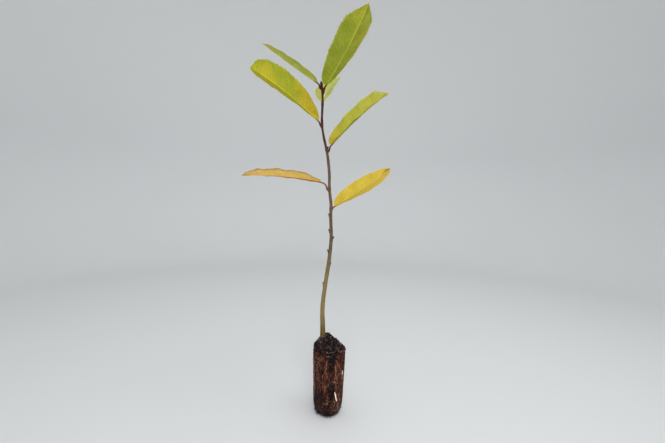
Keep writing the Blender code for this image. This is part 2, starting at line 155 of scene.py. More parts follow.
# Woody roots on the plug: heading on the plug's own octagon, height span, radius, wander
WoodyRoot = namedtuple("WoodyRoot", "heading low high radius wander")
WOODY_ROOTS = [WoodyRoot(*row) for row in (
    (-90 - CORNER, 0.004, 0.090, 0.0011, 2.0),
    (-90 + CORNER, 0.006, 0.091, 0.0010, 3.0),
    (-156, 0.010, 0.076, 0.0014, 3.0),
    (-42, 0.012, 0.090, 0.0012, 4.0),
    (-20, 0.030, 0.091, 0.0009, 3.0),
    (0 + CORNER, 0.004, 0.088, 0.0011, 3.0),
    (48, 0.014, 0.090, 0.0012, 4.0),
    (90 - CORNER, 0.004, 0.084, 0.0010, 2.5),
    (90 + CORNER, 0.008, 0.091, 0.0011, 3.0),
    (140, 0.010, 0.080, 0.0013, 4.0),
    (180 + CORNER, 0.006, 0.090, 0.0010, 2.5),
)]
WOODY_TONES = np.array([0, 0, 1, 0, 1, 1, 0, 1, 1, 0, 1])    # which of the root finishes each has
ROOT_SWAYS = 1.3              # waves of a main root along its course
ROOT_PHASE = 0.31             # share of a wave from one root to the next
STUB_LOW = (-52.5, 0.0262)    # the ivory root stub: heading and height of its lower end
STUB_HIGH = (-65.0, 0.0413)
STUB_RADIUS = 0.0008
CHIP_LOW = (-22.0, 0.0622)    # a smaller splinter of the same wood
CHIP_HIGH = (-23.0, 0.0684)
CHIP_RADIUS = 0.00045


# ---------------------------------------------------------------- colours
def tint(red, green, blue):
    """A colour given by its display values from 0 to 255, as scene-linear numbers: a share up to
    0.04045 is divided by 12.92, and a higher one becomes ((share + 0.055) / 1.055)^2.4."""
    shares = np.array((red, green, blue)) / 255
    linear = np.where(shares <= 0.04045, shares / 12.92, ((shares + 0.055) / 1.055) ** 2.4)
    return tuple(float(value) for value in linear)


# A leaf's colours: name of the setting, its label and what it is for
SHADES = (
    ("base", "Foot", "Blade near the stalk"),
    ("body", "Body", "Middle of the blade"),
    ("tip", "Tip", "Blade near its tip"),
    ("patch", "Patch", "Irregular patches"),
    ("vein", "Vein", "Midrib and side veins"),
    ("margin", "Margin", "Edge of the blade"),
    ("stalk", "Stalk", "Stalk where it leaves the stem"),
    ("half", "Half", "One half of the blade"),
    ("flush", "Flush", "One soft spot"),
)

# Autumn of each leaf: its slot, how far the foot's colour and the margin's colour reach, how much
# of the half's colour lies on the right half seen from above (on the left where it is negative),
# where along and across the blade the flush lies, how far that reaches, and the display values of
# the colours in the order of SHADES
Autumn = namedtuple("Autumn", "slot base_reach margin_reach half_share "
                              "flush_along flush_across flush_reach shades")
AUTUMN = {
    "leaf_1": Autumn("leaf_golden", 0.34, 0.12, 0.5, 1.0, 0.5, 0.13, (
        (246, 214, 82), (246, 226, 88), (238, 206, 104), (250, 232, 66), (184, 172, 54),
        (238, 204, 104), (112, 70, 38), (242, 214, 108), (136, 90, 52))),
    "leaf_2": Autumn("leaf_orange", 0.34, 0.32, 0.5, 1.0, 0.5, 0.15, (
        (196, 188, 84), (254, 228, 138), (238, 198, 132), (252, 206, 90), (150, 104, 58),
        (96, 56, 32), (110, 68, 42), (250, 226, 160), (104, 72, 62))),
    "leaf_3": Autumn("leaf_lime", 0.34, 0.10, 0.4, 0.03, 0.5, 0.12, (
        (222, 196, 60), (194, 191, 66), (202, 197, 96), (196, 204, 60), (160, 164, 54),
        (228, 218, 98), (66, 24, 17), (216, 210, 84), (214, 168, 44))),
    "leaf_4": Autumn("leaf_turning", 0.50, 0.09, -0.85, 0.78, 0.50, 0.16, (
        (255, 200, 28), (196, 203, 42), (224, 216, 42), (222, 212, 36), (174, 168, 34),
        (232, 212, 76), (70, 26, 20), (255, 236, 60), (240, 214, 46))),
    "leaf_5": Autumn("leaf_pale", 0.34, 0.12, 0.85, 0.5, 0.5, 0.10, (
        (206, 212, 120), (202, 210, 122), (214, 216, 132), (180, 196, 112), (206, 208, 136),
        (230, 230, 160), (140, 130, 70), (226, 206, 92), (206, 204, 120))),
    "leaf_6": Autumn("leaf_green", 0.34, 0.10, 0.85, 0.52, 1.0, 0.13, (
        (180, 190, 46), (171, 182, 36), (230, 214, 56), (196, 202, 44), (160, 173, 46),
        (234, 230, 112), (58, 20, 17), (230, 236, 80), (232, 210, 66))),
    "leaf_7": Autumn("leaf_olive", 0.34, 0.12, 0.4, 0.9, 0.5, 0.14, (
        (190, 196, 96), (200, 204, 102), (196, 198, 110), (178, 188, 76), (156, 166, 70),
        (226, 224, 130), (64, 28, 22), (200, 206, 92), (208, 200, 102))),
}


# ---------------------------------------------------------------- settings shown in the sidebar
def length(name, description, default):
    """A setting in metres."""
    return bpy.props.FloatProperty(
        name=name, description=description, default=default, min=0.0, unit="LENGTH", precision=5)


def share(name, description, default):
    """A setting from 0 to 1."""
    return bpy.props.FloatProperty(
        name=name, description=description, default=default, min=0.0, max=1.0, subtype="FACTOR")


def count(name, description, default):
    """A whole number."""
    return bpy.props.IntProperty(name=name, description=description, default=default, min=0)


def power(name, description, default):
    """A lamp's setting in watts."""
    return bpy.props.FloatProperty(
        name=name, description=description, default=default, min=0.0, unit="POWER")


def colour(name, description, *display):
    """A colour, given by its display values from 0 to 255."""
    return bpy.props.FloatVectorProperty(
        name=name, description=description, default=tint(*display), size=3, min=0.0, max=1.0,
        subtype="COLOR")


class SaplingRootBall(bpy.types.PropertyGroup):
    """Sizes and colours of the root-bound plug."""
    crumble: length("Crumble", "Height of the lumps in the packed soil", 0.0007)
    cord_roots: count("Cord roots", "Roots about as thick as string", 100)
    mat_roots: count("Mat roots", "Fine roots that bind the plug", 270)
    hair_roots: count("Hair roots", "Finest roots, in any direction", 720)
    curls: count("Curls", "Thin pale roots that wind about", 64)
    fringe: count("Fringe", "Root ends that stand out round the foot", 420)
    soil: colour("Soil", "Packed soil between the roots", 20, 14, 14)
    fibre: colour("Fibre", "Matted fibre on the soil", 28, 15, 12)
    orange_root: colour("Orange root", "Young bark of the brightest roots", 106, 55, 36)
    pale_root: colour("Pale root", "Thin winding roots", 154, 114, 94)
    brown_root: colour("Brown root", "Most roots", 42, 21, 16)
    dark_root: colour("Dark root", "Old or soil-stained roots", 20, 13, 13)
    thread: colour("Threads", "Finest roots that wind over the soil", 144, 80, 50)
    ivory: colour("Ivory", "Bare wood of a peeled root", 250, 243, 224)


class SaplingSoil(bpy.types.PropertyGroup):
    """Sizes and colours of the loose soil on the plug."""
    crumble: length("Crumble", "Height of the lumps on the mound", 0.0010)
    crumbs: count("Crumbs", "Loose crumbs on the mound and its rim", 1500)
    crumb: length("Crumb", "Usual radius of a crumb", 0.00062)
    strands: count("Strands", "Bleached fibres lying on the mound", 90)
    grit: count("Grit", "Pale specks", 60)
    black: colour("Black", "Moist compost", 16, 13, 14)
    brown: colour("Brown", "Drier compost", 55, 41, 38)
    pale: colour("Pale", "Grit and bleached fibre", 150, 128, 128)


class SaplingStem(bpy.types.PropertyGroup):
    """Sizes and colours of the stem and its buds."""
    relief: length("Relief", "Depth of the bark's wrinkles", 0.00007)
    lenticels: count("Lenticels", "Corky pores", 130)
    foot: colour("Foot", "Olive bark at the soil", 79, 67, 12)
    lower: colour("Lower", "Bark of the lower stem", 121, 102, 63)
    middle: colour("Middle", "Greyish bark halfway up", 84, 66, 48)
    grey: colour("Grey", "Greyer bark above the middle", 88, 70, 56)
    upper: colour("Upper", "Reddish bark among the leaves", 62, 26, 17)
    tip: colour("Tip", "Dark maroon bark of the last shoot", 46, 14, 10)
    bud: colour("Bud", "Bud scales", 54, 25, 21)


class SaplingLeaves(bpy.types.PropertyGroup):
    """Sizes that all the leaves share."""
    teeth: count("Teeth", "Teeth and side veins on each half of a blade", 21)
    tooth: share("Tooth", "Height of a tooth as a share of half the width", 0.070)
    bristle: length("Bristle", "Length of the bristle on a tooth", 0.0004)
    thickness: length("Thickness", "Thickness of a blade", 0.00036)
    vein: length("Vein", "Height of a side vein on the underside", 0.00026)
    pleat: length("Pleat", "How far a blade bulges between side veins", 0.00050)
    ruffle: length("Ruffle", "Height of the waves along a margin", 0.0007)
    glow: share("Glow", "Share of light that passes through a blade", 0.50)


class SaplingStage(bpy.types.PropertyGroup):
    """The studio: floor, light and camera."""
    floor: colour("Floor", "Pale floor and backdrop", 211, 213, 214)
    key: power("Key light", "Power of the lamp above", 4.0)
    fill: power("Fill light", "Power of the lamp in front", 6.2)
    sky: bpy.props.FloatProperty(
        name="Sky", description="Strength of the even light", default=1.06, min=0.0)
    lens: length("Lens", "Focal length on a 36 mm wide sensor", 0.01759)


def leaf_settings(name, autumn):
    """A settings class with the colours of one leaf."""
    fields = {field: colour(label, use, *shade)
              for (field, label, use), shade in zip(SHADES, autumn.shades)}
    fields["margin_reach"] = share(
        "Margin reach", "Width of the margin's colour", autumn.margin_reach)
    return type(f"Sapling_{name}", (bpy.types.PropertyGroup,),
                {"__doc__": f"Autumn colours of {name}.", "__annotations__": fields})


LEAF_SETTINGS = {name: leaf_settings(name, autumn) for name, autumn in AUTUMN.items()}


class SaplingSettings(bpy.types.PropertyGroup):
    """All the settings of the sapling."""
    root_ball: bpy.props.PointerProperty(type=SaplingRootBall)
    soil: bpy.props.PointerProperty(type=SaplingSoil)
    stem: bpy.props.PointerProperty(type=SaplingStem)
    leaves: bpy.props.PointerProperty(type=SaplingLeaves)
    stage: bpy.props.PointerProperty(type=SaplingStage)


for leaf_name, settings_class in LEAF_SETTINGS.items():
    SaplingSettings.__annotations__[leaf_name] = bpy.props.PointerProperty(type=settings_class)


# ---------------------------------------------------------------- noise
def hashed(cell, seed):
    """A repeatable number from 0 to 1 for every whole-numbered cell (..., 3)."""
    mixed = (cell[..., 0] * 73856093) ^ (cell[..., 1] * 19349663) ^ (cell[..., 2] * 83492791)
    mixed = (mixed ^ (seed * 40503 + 12345)) & 0x7FFFFFFF
    for step in (15, 13):
        mixed = ((mixed ^ (mixed >> step)) * 1274126177) & 0x7FFFFFFF
    return (mixed ^ (mixed >> 16)) / 0x7FFFFFFF


def noise(points, size, seed=0):
    """Smooth noise from -1 to 1: a random value on each corner of a cubic lattice of the given
    pitch, blended across a cell by 3t^2 - 2t^3 along each axis."""
    place = points / size
    cell = np.floor(place).astype(np.int64)
    t = place - cell
    t = t * t * (3 - 2 * t)
    total = np.zeros(points.shape[:-1])
    for corner in np.ndindex(2, 2, 2):
        weight = np.prod(np.where(np.array(corner) == 1, t, 1 - t), axis=-1)
        total += weight * hashed(cell + np.array(corner), seed)
    return 2 * total - 1


def crumbling(points, size, octaves, seed=0):
    """Noise whose every further layer is half as wide and half as high."""
    return sum(noise(points, size / 2**k, seed + k) / 2**k for k in range(octaves))


def smoothstep(low, high, value):
    """From 0 at low to 1 at high by 3t^2 - 2t^3, where t is the share of the way."""
    t = np.clip((value - low) / (high - low), 0.0, 1.0)
    return t * t * (3 - 2 * t)


# ---------------------------------------------------------------- meshes
def ring_quads(rows, columns):
    """Quads (rows - 1, columns, 4) that join each closed ring of points to the next."""
    column = np.arange(columns)
    beside = (column + 1) % columns
    row = np.arange(rows - 1)[:, None] * columns
    above = row + columns
    return np.stack((row + column, row + beside, above + beside, above + column), axis=-1)


class Shape:
    """Gathers closed surfaces as the points, faces, UVs, marks and finishes of one mesh."""

    def __init__(self):
        self.points, self.uvs, self.marks = [], [], []
        self.quads, self.quad_finishes = [], []
        self.triangles, self.triangle_finishes = [], []
        self.size = 0

    def add(self, rings, uv=(0.0, 0.0), finish=0, mark=0.0, poles=None):
        """rings is (shapes, rows, columns, 3): each shape is a pile of closed rings, joined to
        the next by quads and closed at both ends by triangles round a pole, which is the middle
        of the end ring unless poles (shapes, 2, 3) gives it.  uv and mark broadcast over the
        points and finish over the quads (shapes, rows - 1, columns)."""
        shapes, rows, columns, _ = rings.shape

        def with_poles(values):
            """Values of the points, and at each pole the mean of its end ring."""
            flat = values.reshape(shapes, rows * columns, *values.shape[3:])
            return np.concatenate((flat, values[:, [0, -1]].mean(axis=2)), axis=1)

        points = with_poles(rings)
        if poles is not None:
            points[:, -2:] = poles
        uv = np.broadcast_to(uv, (shapes, rows, columns, 2))
        mark = np.broadcast_to(mark, (shapes, rows, columns))
        finish = np.broadcast_to(finish, (shapes, rows - 1, columns))

        quads = ring_quads(rows, columns).reshape(-1, 4)
        column, last = np.arange(columns), (rows - 1) * columns
        beside = (column + 1) % columns
        pole = np.full(columns, rows * columns)
        triangles = np.concatenate((np.stack((pole, beside, column), axis=-1),
                                    np.stack((pole + 1, last + column, last + beside), axis=-1)))
        corners = points[0][np.concatenate((triangles, quads[:, :3], quads[:, [0, 2, 3]]))]
        if np.einsum("ij,ij->i", corners[:, 0], np.cross(corners[:, 1], corners[:, 2])).sum() < 0:
            quads, triangles = quads[:, ::-1], triangles[:, ::-1]

        start = self.size + np.arange(shapes)[:, None, None] * points.shape[1]
        self.points.append(points.reshape(-1, 3))
        self.uvs.append(with_poles(uv).reshape(-1, 2))
        self.marks.append(with_poles(mark).ravel())
        self.quads.append((quads + start).reshape(-1, 4))
        self.quad_finishes.append(finish.ravel())
        self.triangles.append((triangles + start).reshape(-1, 3))
        self.triangle_finishes.append(finish[:, [0, -1]].ravel())
        self.size += shapes * points.shape[1]
        return self

    def make(self, name, slot, finishes, replaces=None, sharp=50.0):
        """Writes the mesh, gives it its finishes and lets it ride on the plant.  Edges that turn
        by more than sharp degrees stay sharp."""
        points = np.concatenate(self.points)
        quads = np.concatenate(self.quads)
        triangles = np.concatenate(self.triangles)
        corners = np.concatenate((quads.ravel(), triangles.ravel()))
        starts = np.concatenate((np.arange(len(quads)) * 4,
                                 quads.size + np.arange(len(triangles)) * 3))
        chosen = np.concatenate(self.quad_finishes + self.triangle_finishes)
        uvs = np.concatenate(self.uvs)[corners]
        marks = np.concatenate(self.marks)

        mesh = bpy.data.meshes.new(name)
        mesh.vertices.add(len(points))
        mesh.vertices.foreach_set("co", points.astype(np.float32).ravel())
        mesh.loops.add(len(corners))
        mesh.loops.foreach_set("vertex_index", corners.astype(np.int32))
        mesh.polygons.add(len(starts))
        mesh.polygons.foreach_set("loop_start", starts.astype(np.int32))
        mesh.polygons.foreach_set("material_index", chosen.astype(np.int32))
        mesh.update(calc_edges=True)
        mesh.uv_layers.new(name="UVMap").uv.foreach_set("vector", uvs.astype(np.float32).ravel())
        mark = mesh.attributes.new("mark", "FLOAT", "POINT")
        mark.data.foreach_set("value", marks.astype(np.float32))
        mesh.validate()
        mesh.shade_smooth()
        mesh.set_sharp_from_angle(angle=math.radians(sharp))
        for finish in finishes:
            mesh.materials.append(finish)
        piece = bpy.data.objects.new(name, mesh)
        bpy.context.scene.collection.objects.link(piece)
        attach(piece, "root")
        if replaces:
            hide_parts(replaces)


def unit(vectors):
    """The vectors, each divided by its length."""
    return vectors / np.maximum(np.linalg.norm(vectors, axis=-1, keepdims=True), 1e-12)


def full_turn(number):
    """Angles in radians, evenly round a circle."""
    return np.arange(number) * (2 * math.pi / number)


def tube_rings(paths, radii, sides, out):
    """Rings of round tubes along paths (..., rows, 3): at every point a circle of the given
    radius, square to the path, whose first direction is the path's tangent crossed with out."""
    along = unit(np.gradient(paths, axis=-2))
    side = unit(np.cross(along, out))
    up = np.cross(side, along)
    turn = full_turn(sides)[:, None]
    circle = side[..., None, :] * np.cos(turn) + up[..., None, :] * np.sin(turn)
    return paths[..., None, :] + np.asarray(radii)[..., None, None] * circle


def lumps(centres, radii, rng, rows=5, columns=7):
    """Rough crumbs (n, rows, columns, 3): spheres whose radius changes at random from point to
    point, squashed a little along three random axes."""
    number = len(centres)
    polar = np.linspace(0.16, 0.84, rows)[:, None] * math.pi
    turn = full_turn(columns)
    ball = np.stack((np.sin(polar) * np.cos(turn), np.sin(polar) * np.sin(turn),
                     np.cos(polar) * np.ones(columns)), axis=-1)
    axis = unit(rng.normal(size=(number, 3)))
    other = unit(np.cross(axis, rng.normal(size=(number, 3))))
    third = np.cross(axis, other)
    squash = rng.uniform(0.55, 1.1, (number, 3))
    size = radii[:, None, None] * rng.uniform(0.72, 1.22, (number, rows, columns))
    local = ball * size[..., None] * squash[:, None, None, :]
    return centres[:, None, None, :] + (
        local[..., :1] * other[:, None, None, :] + local[..., 1:2] * third[:, None, None, :]
        + local[..., 2:] * axis[:, None, None, :])


# ---------------------------------------------------------------- shader nodes
class Value:
    """One shader socket.  Arithmetic on it adds Math nodes."""

    def __init__(self, finish, socket):
        self.finish = finish
        self.socket = socket

    def math(self, operation, *others):
        """A Math node on this value and the others."""
        values = dict(enumerate((self, *others)))
        return self.finish.node("ShaderNodeMath", {"operation": operation}, values)

    def __add__(self, other):
        return self.math("ADD", other)

    def __sub__(self, other):
        return self.math("SUBTRACT", other)

    def __rsub__(self, other):
        return self.math("MULTIPLY_ADD", -1.0, other)

    def __mul__(self, other):
        return self.math("MULTIPLY", other)

    def __truediv__(self, other):
        return self.math("DIVIDE", other)

    def __pow__(self, other):
        return self.math("POWER", other)

    def __gt__(self, other):
        return self.math("GREATER_THAN", other)

    def __abs__(self):
        return self.math("ABSOLUTE")

    __radd__ = __add__
    __rmul__ = __mul__

    def clipped(self):
        """The value, kept from 0 to 1."""
        return self.math("MAXIMUM", 0.0).math("MINIMUM", 1.0)


class Finish:
    """One procedural material round a Principled shader."""

    def __init__(self, name, **constants):
        self.material = bpy.data.materials.new(name)
        self.material.use_nodes = True
        self.tree = self.material.node_tree
        self.shader = self.tree.nodes["Principled BSDF"]
        self.feed(constants)

    def feed(self, values):
        """Sets or links sockets of the Principled shader, by their names.  Gives the material."""
        for name, value in values.items():
            self.connect(self.shader.inputs[name.replace("_", " ")], value)
        return self.material

    def connect(self, socket, value):
        """Links a value to a socket, or sets the socket to a number, a vector or a colour."""
        if isinstance(value, Value):
            self.tree.links.new(value.socket, socket)
        elif np.ndim(value) == 1 and len(value) == 3 and len(socket.default_value) == 4:
            socket.default_value = (*value, 1.0)
        else:
            socket.default_value = value

    def node(self, kind, settings=None, values=None, output=0):
        """Adds a node: its settings first, a ramp's stops among them, then values or links."""
        made = self.tree.nodes.new(kind)
        for name, value in (settings or {}).items():
            if name == "stops":
                self.set_stops(made.color_ramp, value)
            else:
                setattr(made, name, value)
        for name, value in (values or {}).items():
            self.connect(made.inputs[name], value)
        return Value(self, made.outputs[output])

    def set_stops(self, ramp, stops):
        """Gives a colour ramp its stops, each a place and a colour."""
        while len(ramp.elements) < len(stops):
            ramp.elements.new(1.0)
        for element, (place, shade) in zip(ramp.elements, stops):
            element.position = place
            element.color = (*shade, 1.0)

    def place(self, stretch=(1.0, 1.0, 1.0)):
        """Object coordinates, multiplied along each axis."""
        here = self.node("ShaderNodeTexCoord", output="Object")
        return self.node("ShaderNodeMapping", values={"Vector": here, "Scale": stretch})

    def height(self):
        """Height above the surface that the plant stands on."""
        here = self.node("ShaderNodeTexCoord", output="Object")
        return self.node("ShaderNodeSeparateXYZ", values={0: here}, output="Z")

    def uv(self):
        """The two coordinates of the piece's own UV map."""
        here = self.node("ShaderNodeUVMap", {"uv_map": "UVMap"})
        return (self.node("ShaderNodeSeparateXYZ", values={0: here}, output="X"),
                self.node("ShaderNodeSeparateXYZ", values={0: here}, output="Y"))

    def mark(self):
        """The piece's own mark, such as its stains or its cork."""
        return self.node("ShaderNodeAttribute", {"attribute_name": "mark"}, output="Fac")

    def noise(self, size, detail=4.0, stretch=(1.0, 1.0, 1.0), roughness=0.55):
        """Noise from 0 to 1 with features of about the given size in metres."""
        return self.node("ShaderNodeTexNoise", values={
            "Vector": self.place(stretch), "Scale": 1.0 / size, "Detail": detail,
            "Roughness": roughness})

    def cells(self, size, feature="DISTANCE_TO_EDGE"):
        """Distance to the edges, or the middles, of irregular cells of the given size."""
        return self.node("ShaderNodeTexVoronoi", {"feature": feature}, {
            "Vector": self.place(), "Scale": 1.0 / size}, output="Distance")

    def ease(self, value, low, high, start=0.0, end=1.0):
        """Smooth step of a value between two bounds."""
        return self.node("ShaderNodeMapRange", {"interpolation_type": "SMOOTHSTEP"}, {
            "Value": value, "From Min": low, "From Max": high, "To Min": start, "To Max": end})

    def fade(self, value, low, high):
        """The same step, from 1 down to 0."""
        return self.ease(value, low, high, 1.0, 0.0)

    def mix(self, factor, first, second):
        """A colour between two."""
        return self.node("ShaderNodeMix", {"data_type": "RGBA"}, {0: factor, 6: first, 7: second},
                         output=2)

    def bump(self, height, depth, strength=1.0, under=None):
        """A normal from heights of 0 to 1, depth metres deep, over another bump if one is
        given."""
        values = {"Height": height, "Distance": depth, "Strength": strength}
        if under is not None:
            values["Normal"] = under
        return self.node("ShaderNodeBump", values=values)


# ---------------------------------------------------------------- the plant's curves
def smooth_through(table, at):
    """Values of a table's columns at the given heights, on one smooth curve (cubic Hermite)."""
    table = np.array(table)
    knots = table[:, 0]
    i = np.clip(np.searchsorted(knots, at, side="right") - 1, 0, len(knots) - 2)
    span = knots[i + 1] - knots[i]
    t = (at - knots[i]) / span
    columns = []
    for column in table[:, 1:].T:
        chord = np.diff(column) / np.diff(knots)
        slope = np.concatenate(([chord[0]], (chord[:-1] + chord[1:]) / 2, [chord[-1]]))
        start = (2 * t**3 - 3 * t**2 + 1) * column[i] + (t**3 - 2 * t**2 + t) * span * slope[i]
        end = (3 * t**2 - 2 * t**3) * column[i + 1] + (t**3 - t**2) * span * slope[i + 1]
        columns.append(start + end)
    return np.stack(columns, axis=-1)


def stem_axis(height):
    """The point of the stem's axis at a height."""
    height = np.asarray(height, dtype=float)
    lean = smooth_through(STEM_COURSE, height)
    return np.stack((lean[..., 0], lean[..., 1], height), axis=-1)


def stem_radius(height):
    """Smooth taper, plus a flare at the foot and a swelling at every leaf's node."""
    height = np.asarray(height, dtype=float)
    part = np.clip((height - STEM_FOOT) / (STEM_TIP - STEM_FOOT), 0.0, 1.0)
    radius = (TIP_DIAMETER + (FOOT_DIAMETER - TIP_DIAMETER) * (1 - part) ** TAPER_POWER) / 2
    radius = radius + ROOT_FLARE * np.exp(-(height - STEM_FOOT) / FLARE_HEIGHT)
    for leaf in LEAVES:
        radius = radius + NODE_SWELL * np.exp(-((height - leaf.height) / NODE_REACH) ** 2)
    return radius


def heading_vector(heading):
    """Level direction of a heading in degrees from +X."""
    angle = np.radians(heading)
    return np.stack((np.cos(angle), np.sin(angle), np.zeros_like(angle)), axis=-1)


def turned_from(heading, other):
    """Degrees from the other heading to this one, from -180 to 180."""
    return (heading - other + 180) % 360 - 180


def plug_radius(angle, level):
    """Centre to the plug's side: a rounded octagon, narrowing to the underside's worn edge.  The
    octagon is the sum over its sides of (cosine from the side's facing / reach)^crispness, all
    to the power of -1 / crispness."""
    grown = FOOT_SCALE + (1.0 - FOOT_SCALE) * level / RIM
    heights, shares = zip(*WORN_EDGE)
    grown = grown * np.interp(level, heights, shares)
    total = 0.0
    for side in range(8):
        facing = math.radians(PLUG_TURN - 90.0 + 45.0 * side)
        reach = RIM_TO_BEVEL if side % 2 == 0 else RIM_TO_SIDE
        turned = np.maximum(np.cos(angle - facing), 0.0)
        total = total + (turned / (reach * grown)) ** CORNER_CRISPNESS
    return total ** (-1.0 / CORNER_CRISPNESS)


def around_axis(angles, reach, levels):
    """Points at a heading and a reach from the plug's leaning axis, at the given heights."""
    x = reach * np.cos(angles) + PLUG_LEAN * levels / RIM
    return np.stack(np.broadcast_arrays(x, reach * np.sin(angles), levels), axis=-1)


def on_plug(headings, levels, lift):
    """Points on the plug's side at headings in degrees and heights, lifted off it."""
    angles = np.radians(headings)
    return around_axis(angles, plug_radius(angles, levels) + lift, levels)


def on_mound(angles, part):
    """Points of the soil mound: from its rim (part 1) to its peak (part 0) the height follows
    1 - part^power, where the power grows from the steep side to the full one."""
    right = (1.0 + np.cos(angles)) / 2
    rim = RIM - RIM_DROP * right
    power = CROWN_FULL_SIDE + (CROWN_STEEP_SIDE - CROWN_FULL_SIDE) * right
    rise = (RIM + CROWN_HEIGHT - rim) * (1.0 - part**power)
    bumps = sum(size * np.sin(waves * angles + turn * part) for size, waves, turn in CROWN_LUMPS)
    points = around_axis(angles, plug_radius(angles, RIM) * part, rim + rise + bumps * part)
    return points + np.array(CROWN_PEAK) * (1 - part[..., None])


def column_draws(rng, number):
    """A function that draws a column (number, 1) of random values between two bounds."""
    return lambda low, high: rng.uniform(low, high, (number, 1))


def points_at(where, known, points):
    """Points of a line at given distances along it, from those at the known distances."""
    return np.stack([np.interp(where, known, points[:, axis]) for axis in range(3)], axis=-1)


# ---------------------------------------------------------------- root ball
CORE_COLUMNS = 300
CORE_ROWS = 210
UNDERSIDE_ROWS = 14
TOPSIDE_ROWS = 6
RAISED_FOOT = 0.004           # height within which crumbling also lifts the soil
SOIL_GRAIN = 0.0042           # width of the largest lumps in the packed soil
HOLLOWS = 0.011               # width of the slow hollows of the plug's sides

# Stains on the plug: heading, height, how far they reach round in degrees and up in metres, and
# their strength: rusty ones are above zero and dark ones below it
STAINS = (
    (-40, 0.087, 11, 0.013, 1.3), (-40, 0.064, 8, 0.010, 0.5), (-24, 0.080, 10, 0.012, 0.6),
    (-134, 0.089, 20, 0.009, 0.9), (-108, 0.084, 7, 0.012, 0.5), (-81, 0.088, 10, 0.013, -1.8),
    (-124, 0.065, 8, 0.010, -1.4), (-78, 0.042, 8, 0.012, -1.7), (-133, 0.027, 12, 0.012, -1.3),
    (-104, 0.045, 8, 0.018, 0.4), (-43, 0.030, 9, 0.012, 0.5), (-46, 0.015, 12, 0.007, 1.1),
    (-147, 0.061, 5, 0.013, 0.4), (-140, 0.012, 20, 0.010, -0.6),
)
STAIN_SPREAD = 0.015          # width of the stains that have no place of their own
STAIN_STRENGTH = 0.55         # and their strength
FOOT_DARKENING = 1.10              # strength of the darkening towards the plug's foot
FOOT_DARKENING_HEIGHT = 0.020
FRINGE_MARK = -0.45           # the fringe's own mark: half darkened, as the plug's foot is


def staining(points):
    """From 1 where the plug is rusty to -1 where it is dark: the stains, each a bell round its
    place, over slow noise and the damp of the foot."""
    level = points[..., 2]
    headings = np.degrees(np.arctan2(points[..., 1], points[..., 0] - PLUG_LEAN * level / RIM))
    total = STAIN_STRENGTH * crumbling(points, STAIN_SPREAD, 3, 61)
    total = total - FOOT_DARKENING * np.exp(-(level / FOOT_DARKENING_HEIGHT) ** 2)
    for heading, height, reach_round, reach_up, strength in STAINS:
        away = turned_from(headings, heading) / reach_round
        total = total + strength * np.exp(-away**2 - ((level - height) / reach_up) ** 2)
    return np.clip(total, -1.0, 1.0)


def core_rings():
    """The packed soil: rings from the middle of the underside, up the plug's sides and in over
    its top.  Crumbling noise and slow hollows move each point out and in.  Near the underside
    they only lift it, so that nothing reaches below the ground gap."""
    angles = full_turn(CORE_COLUMNS)
    under = np.linspace(0.05, 0.97, UNDERSIDE_ROWS)
    side = np.linspace(0.0, 1.0, CORE_ROWS) ** 1.05 * PLUG_TOP
    over = np.linspace(0.95, 0.10, TOPSIDE_ROWS)
    levels = np.concatenate((np.zeros(UNDERSIDE_ROWS), side, np.full(TOPSIDE_ROWS, PLUG_TOP)))
    levels = levels[:, None]
    shares = np.concatenate((under, np.ones(CORE_ROWS), over))[:, None]
    plain = around_axis(angles, plug_radius(angles, levels) * shares, levels)
    depth = bpy.context.scene.sapling.root_ball.crumble
    rough = depth * crumbling(plain, SOIL_GRAIN, 3, 11)
    rough = rough + depth * noise(plain, HOLLOWS, 17) - depth / 3
    points = around_axis(angles, plug_radius(angles, levels) * shares + rough * shares, levels)
    raised = np.abs(rough) * (1 - smoothstep(0.0, RAISED_FOOT, levels)) * 0.6
    points[..., 2] = GROUND_GAP + levels + raised
    return points[None]


# A family of roots: radius and length from least to most, sway, slant in degrees, how high it
# rides over the plug, points along a root and round it, and the seed of its random draws
Roots = namedtuple("Roots", "radius length sway slant lift rows sides seed")
CORD = Roots((0.00032, 0.00066), (0.030, 0.095), 0.0010, 6.0, 0.0002, 64, 7, 3)
MAT = Roots((0.00020, 0.00042), (0.012, 0.046), 0.0015, 20.0, 0.0003, 34, 5, 5)
HAIR = Roots((0.00006, 0.00013), (0.005, 0.017), 0.0012, 180.0, 0.0006, 14, 4, 7)
CURL = Roots((0.00024, 0.00040), (0.016, 0.040), 0.0038, 62.0, 0.0007, 70, 6, 9)
PLUG_GIRTH = 0.022            # mean reach of the plug's sides, which turns a length into a heading
BRIGHT_AND_LIT_HEADING = -32.0        # side of the plug, facing the key lamp, where most of the young orange roots lie: partly their own colour, partly painted light from that side
ROOT_LOW = 0.0012             # lowest level of a root, which turns up again there
ROOT_HIGH = 0.0035            # how far a root may reach above the plug


def root_tones(headings, levels, rng):
    """Deals one of four finishes to each root, orange (0), brown (1), dark (2) or pale (3): the
    young orange ones mostly on one side and high."""
    # partly painted light: roots on the side facing the key lamp, and higher ones, more often get
    # the orange finish
    bright_and_lit = 0.5 + 0.5 * np.cos(np.radians(headings - BRIGHT_AND_LIT_HEADING))
    bright_and_lit = bright_and_lit * (0.35 + 0.65 * levels / RIM)
    dealt = rng.uniform(size=len(headings)) - 0.42 * (bright_and_lit - 0.35)
    return np.select([dealt < 0.26, dealt < 0.52, dealt < 0.78], [0, 1, 2], 3)


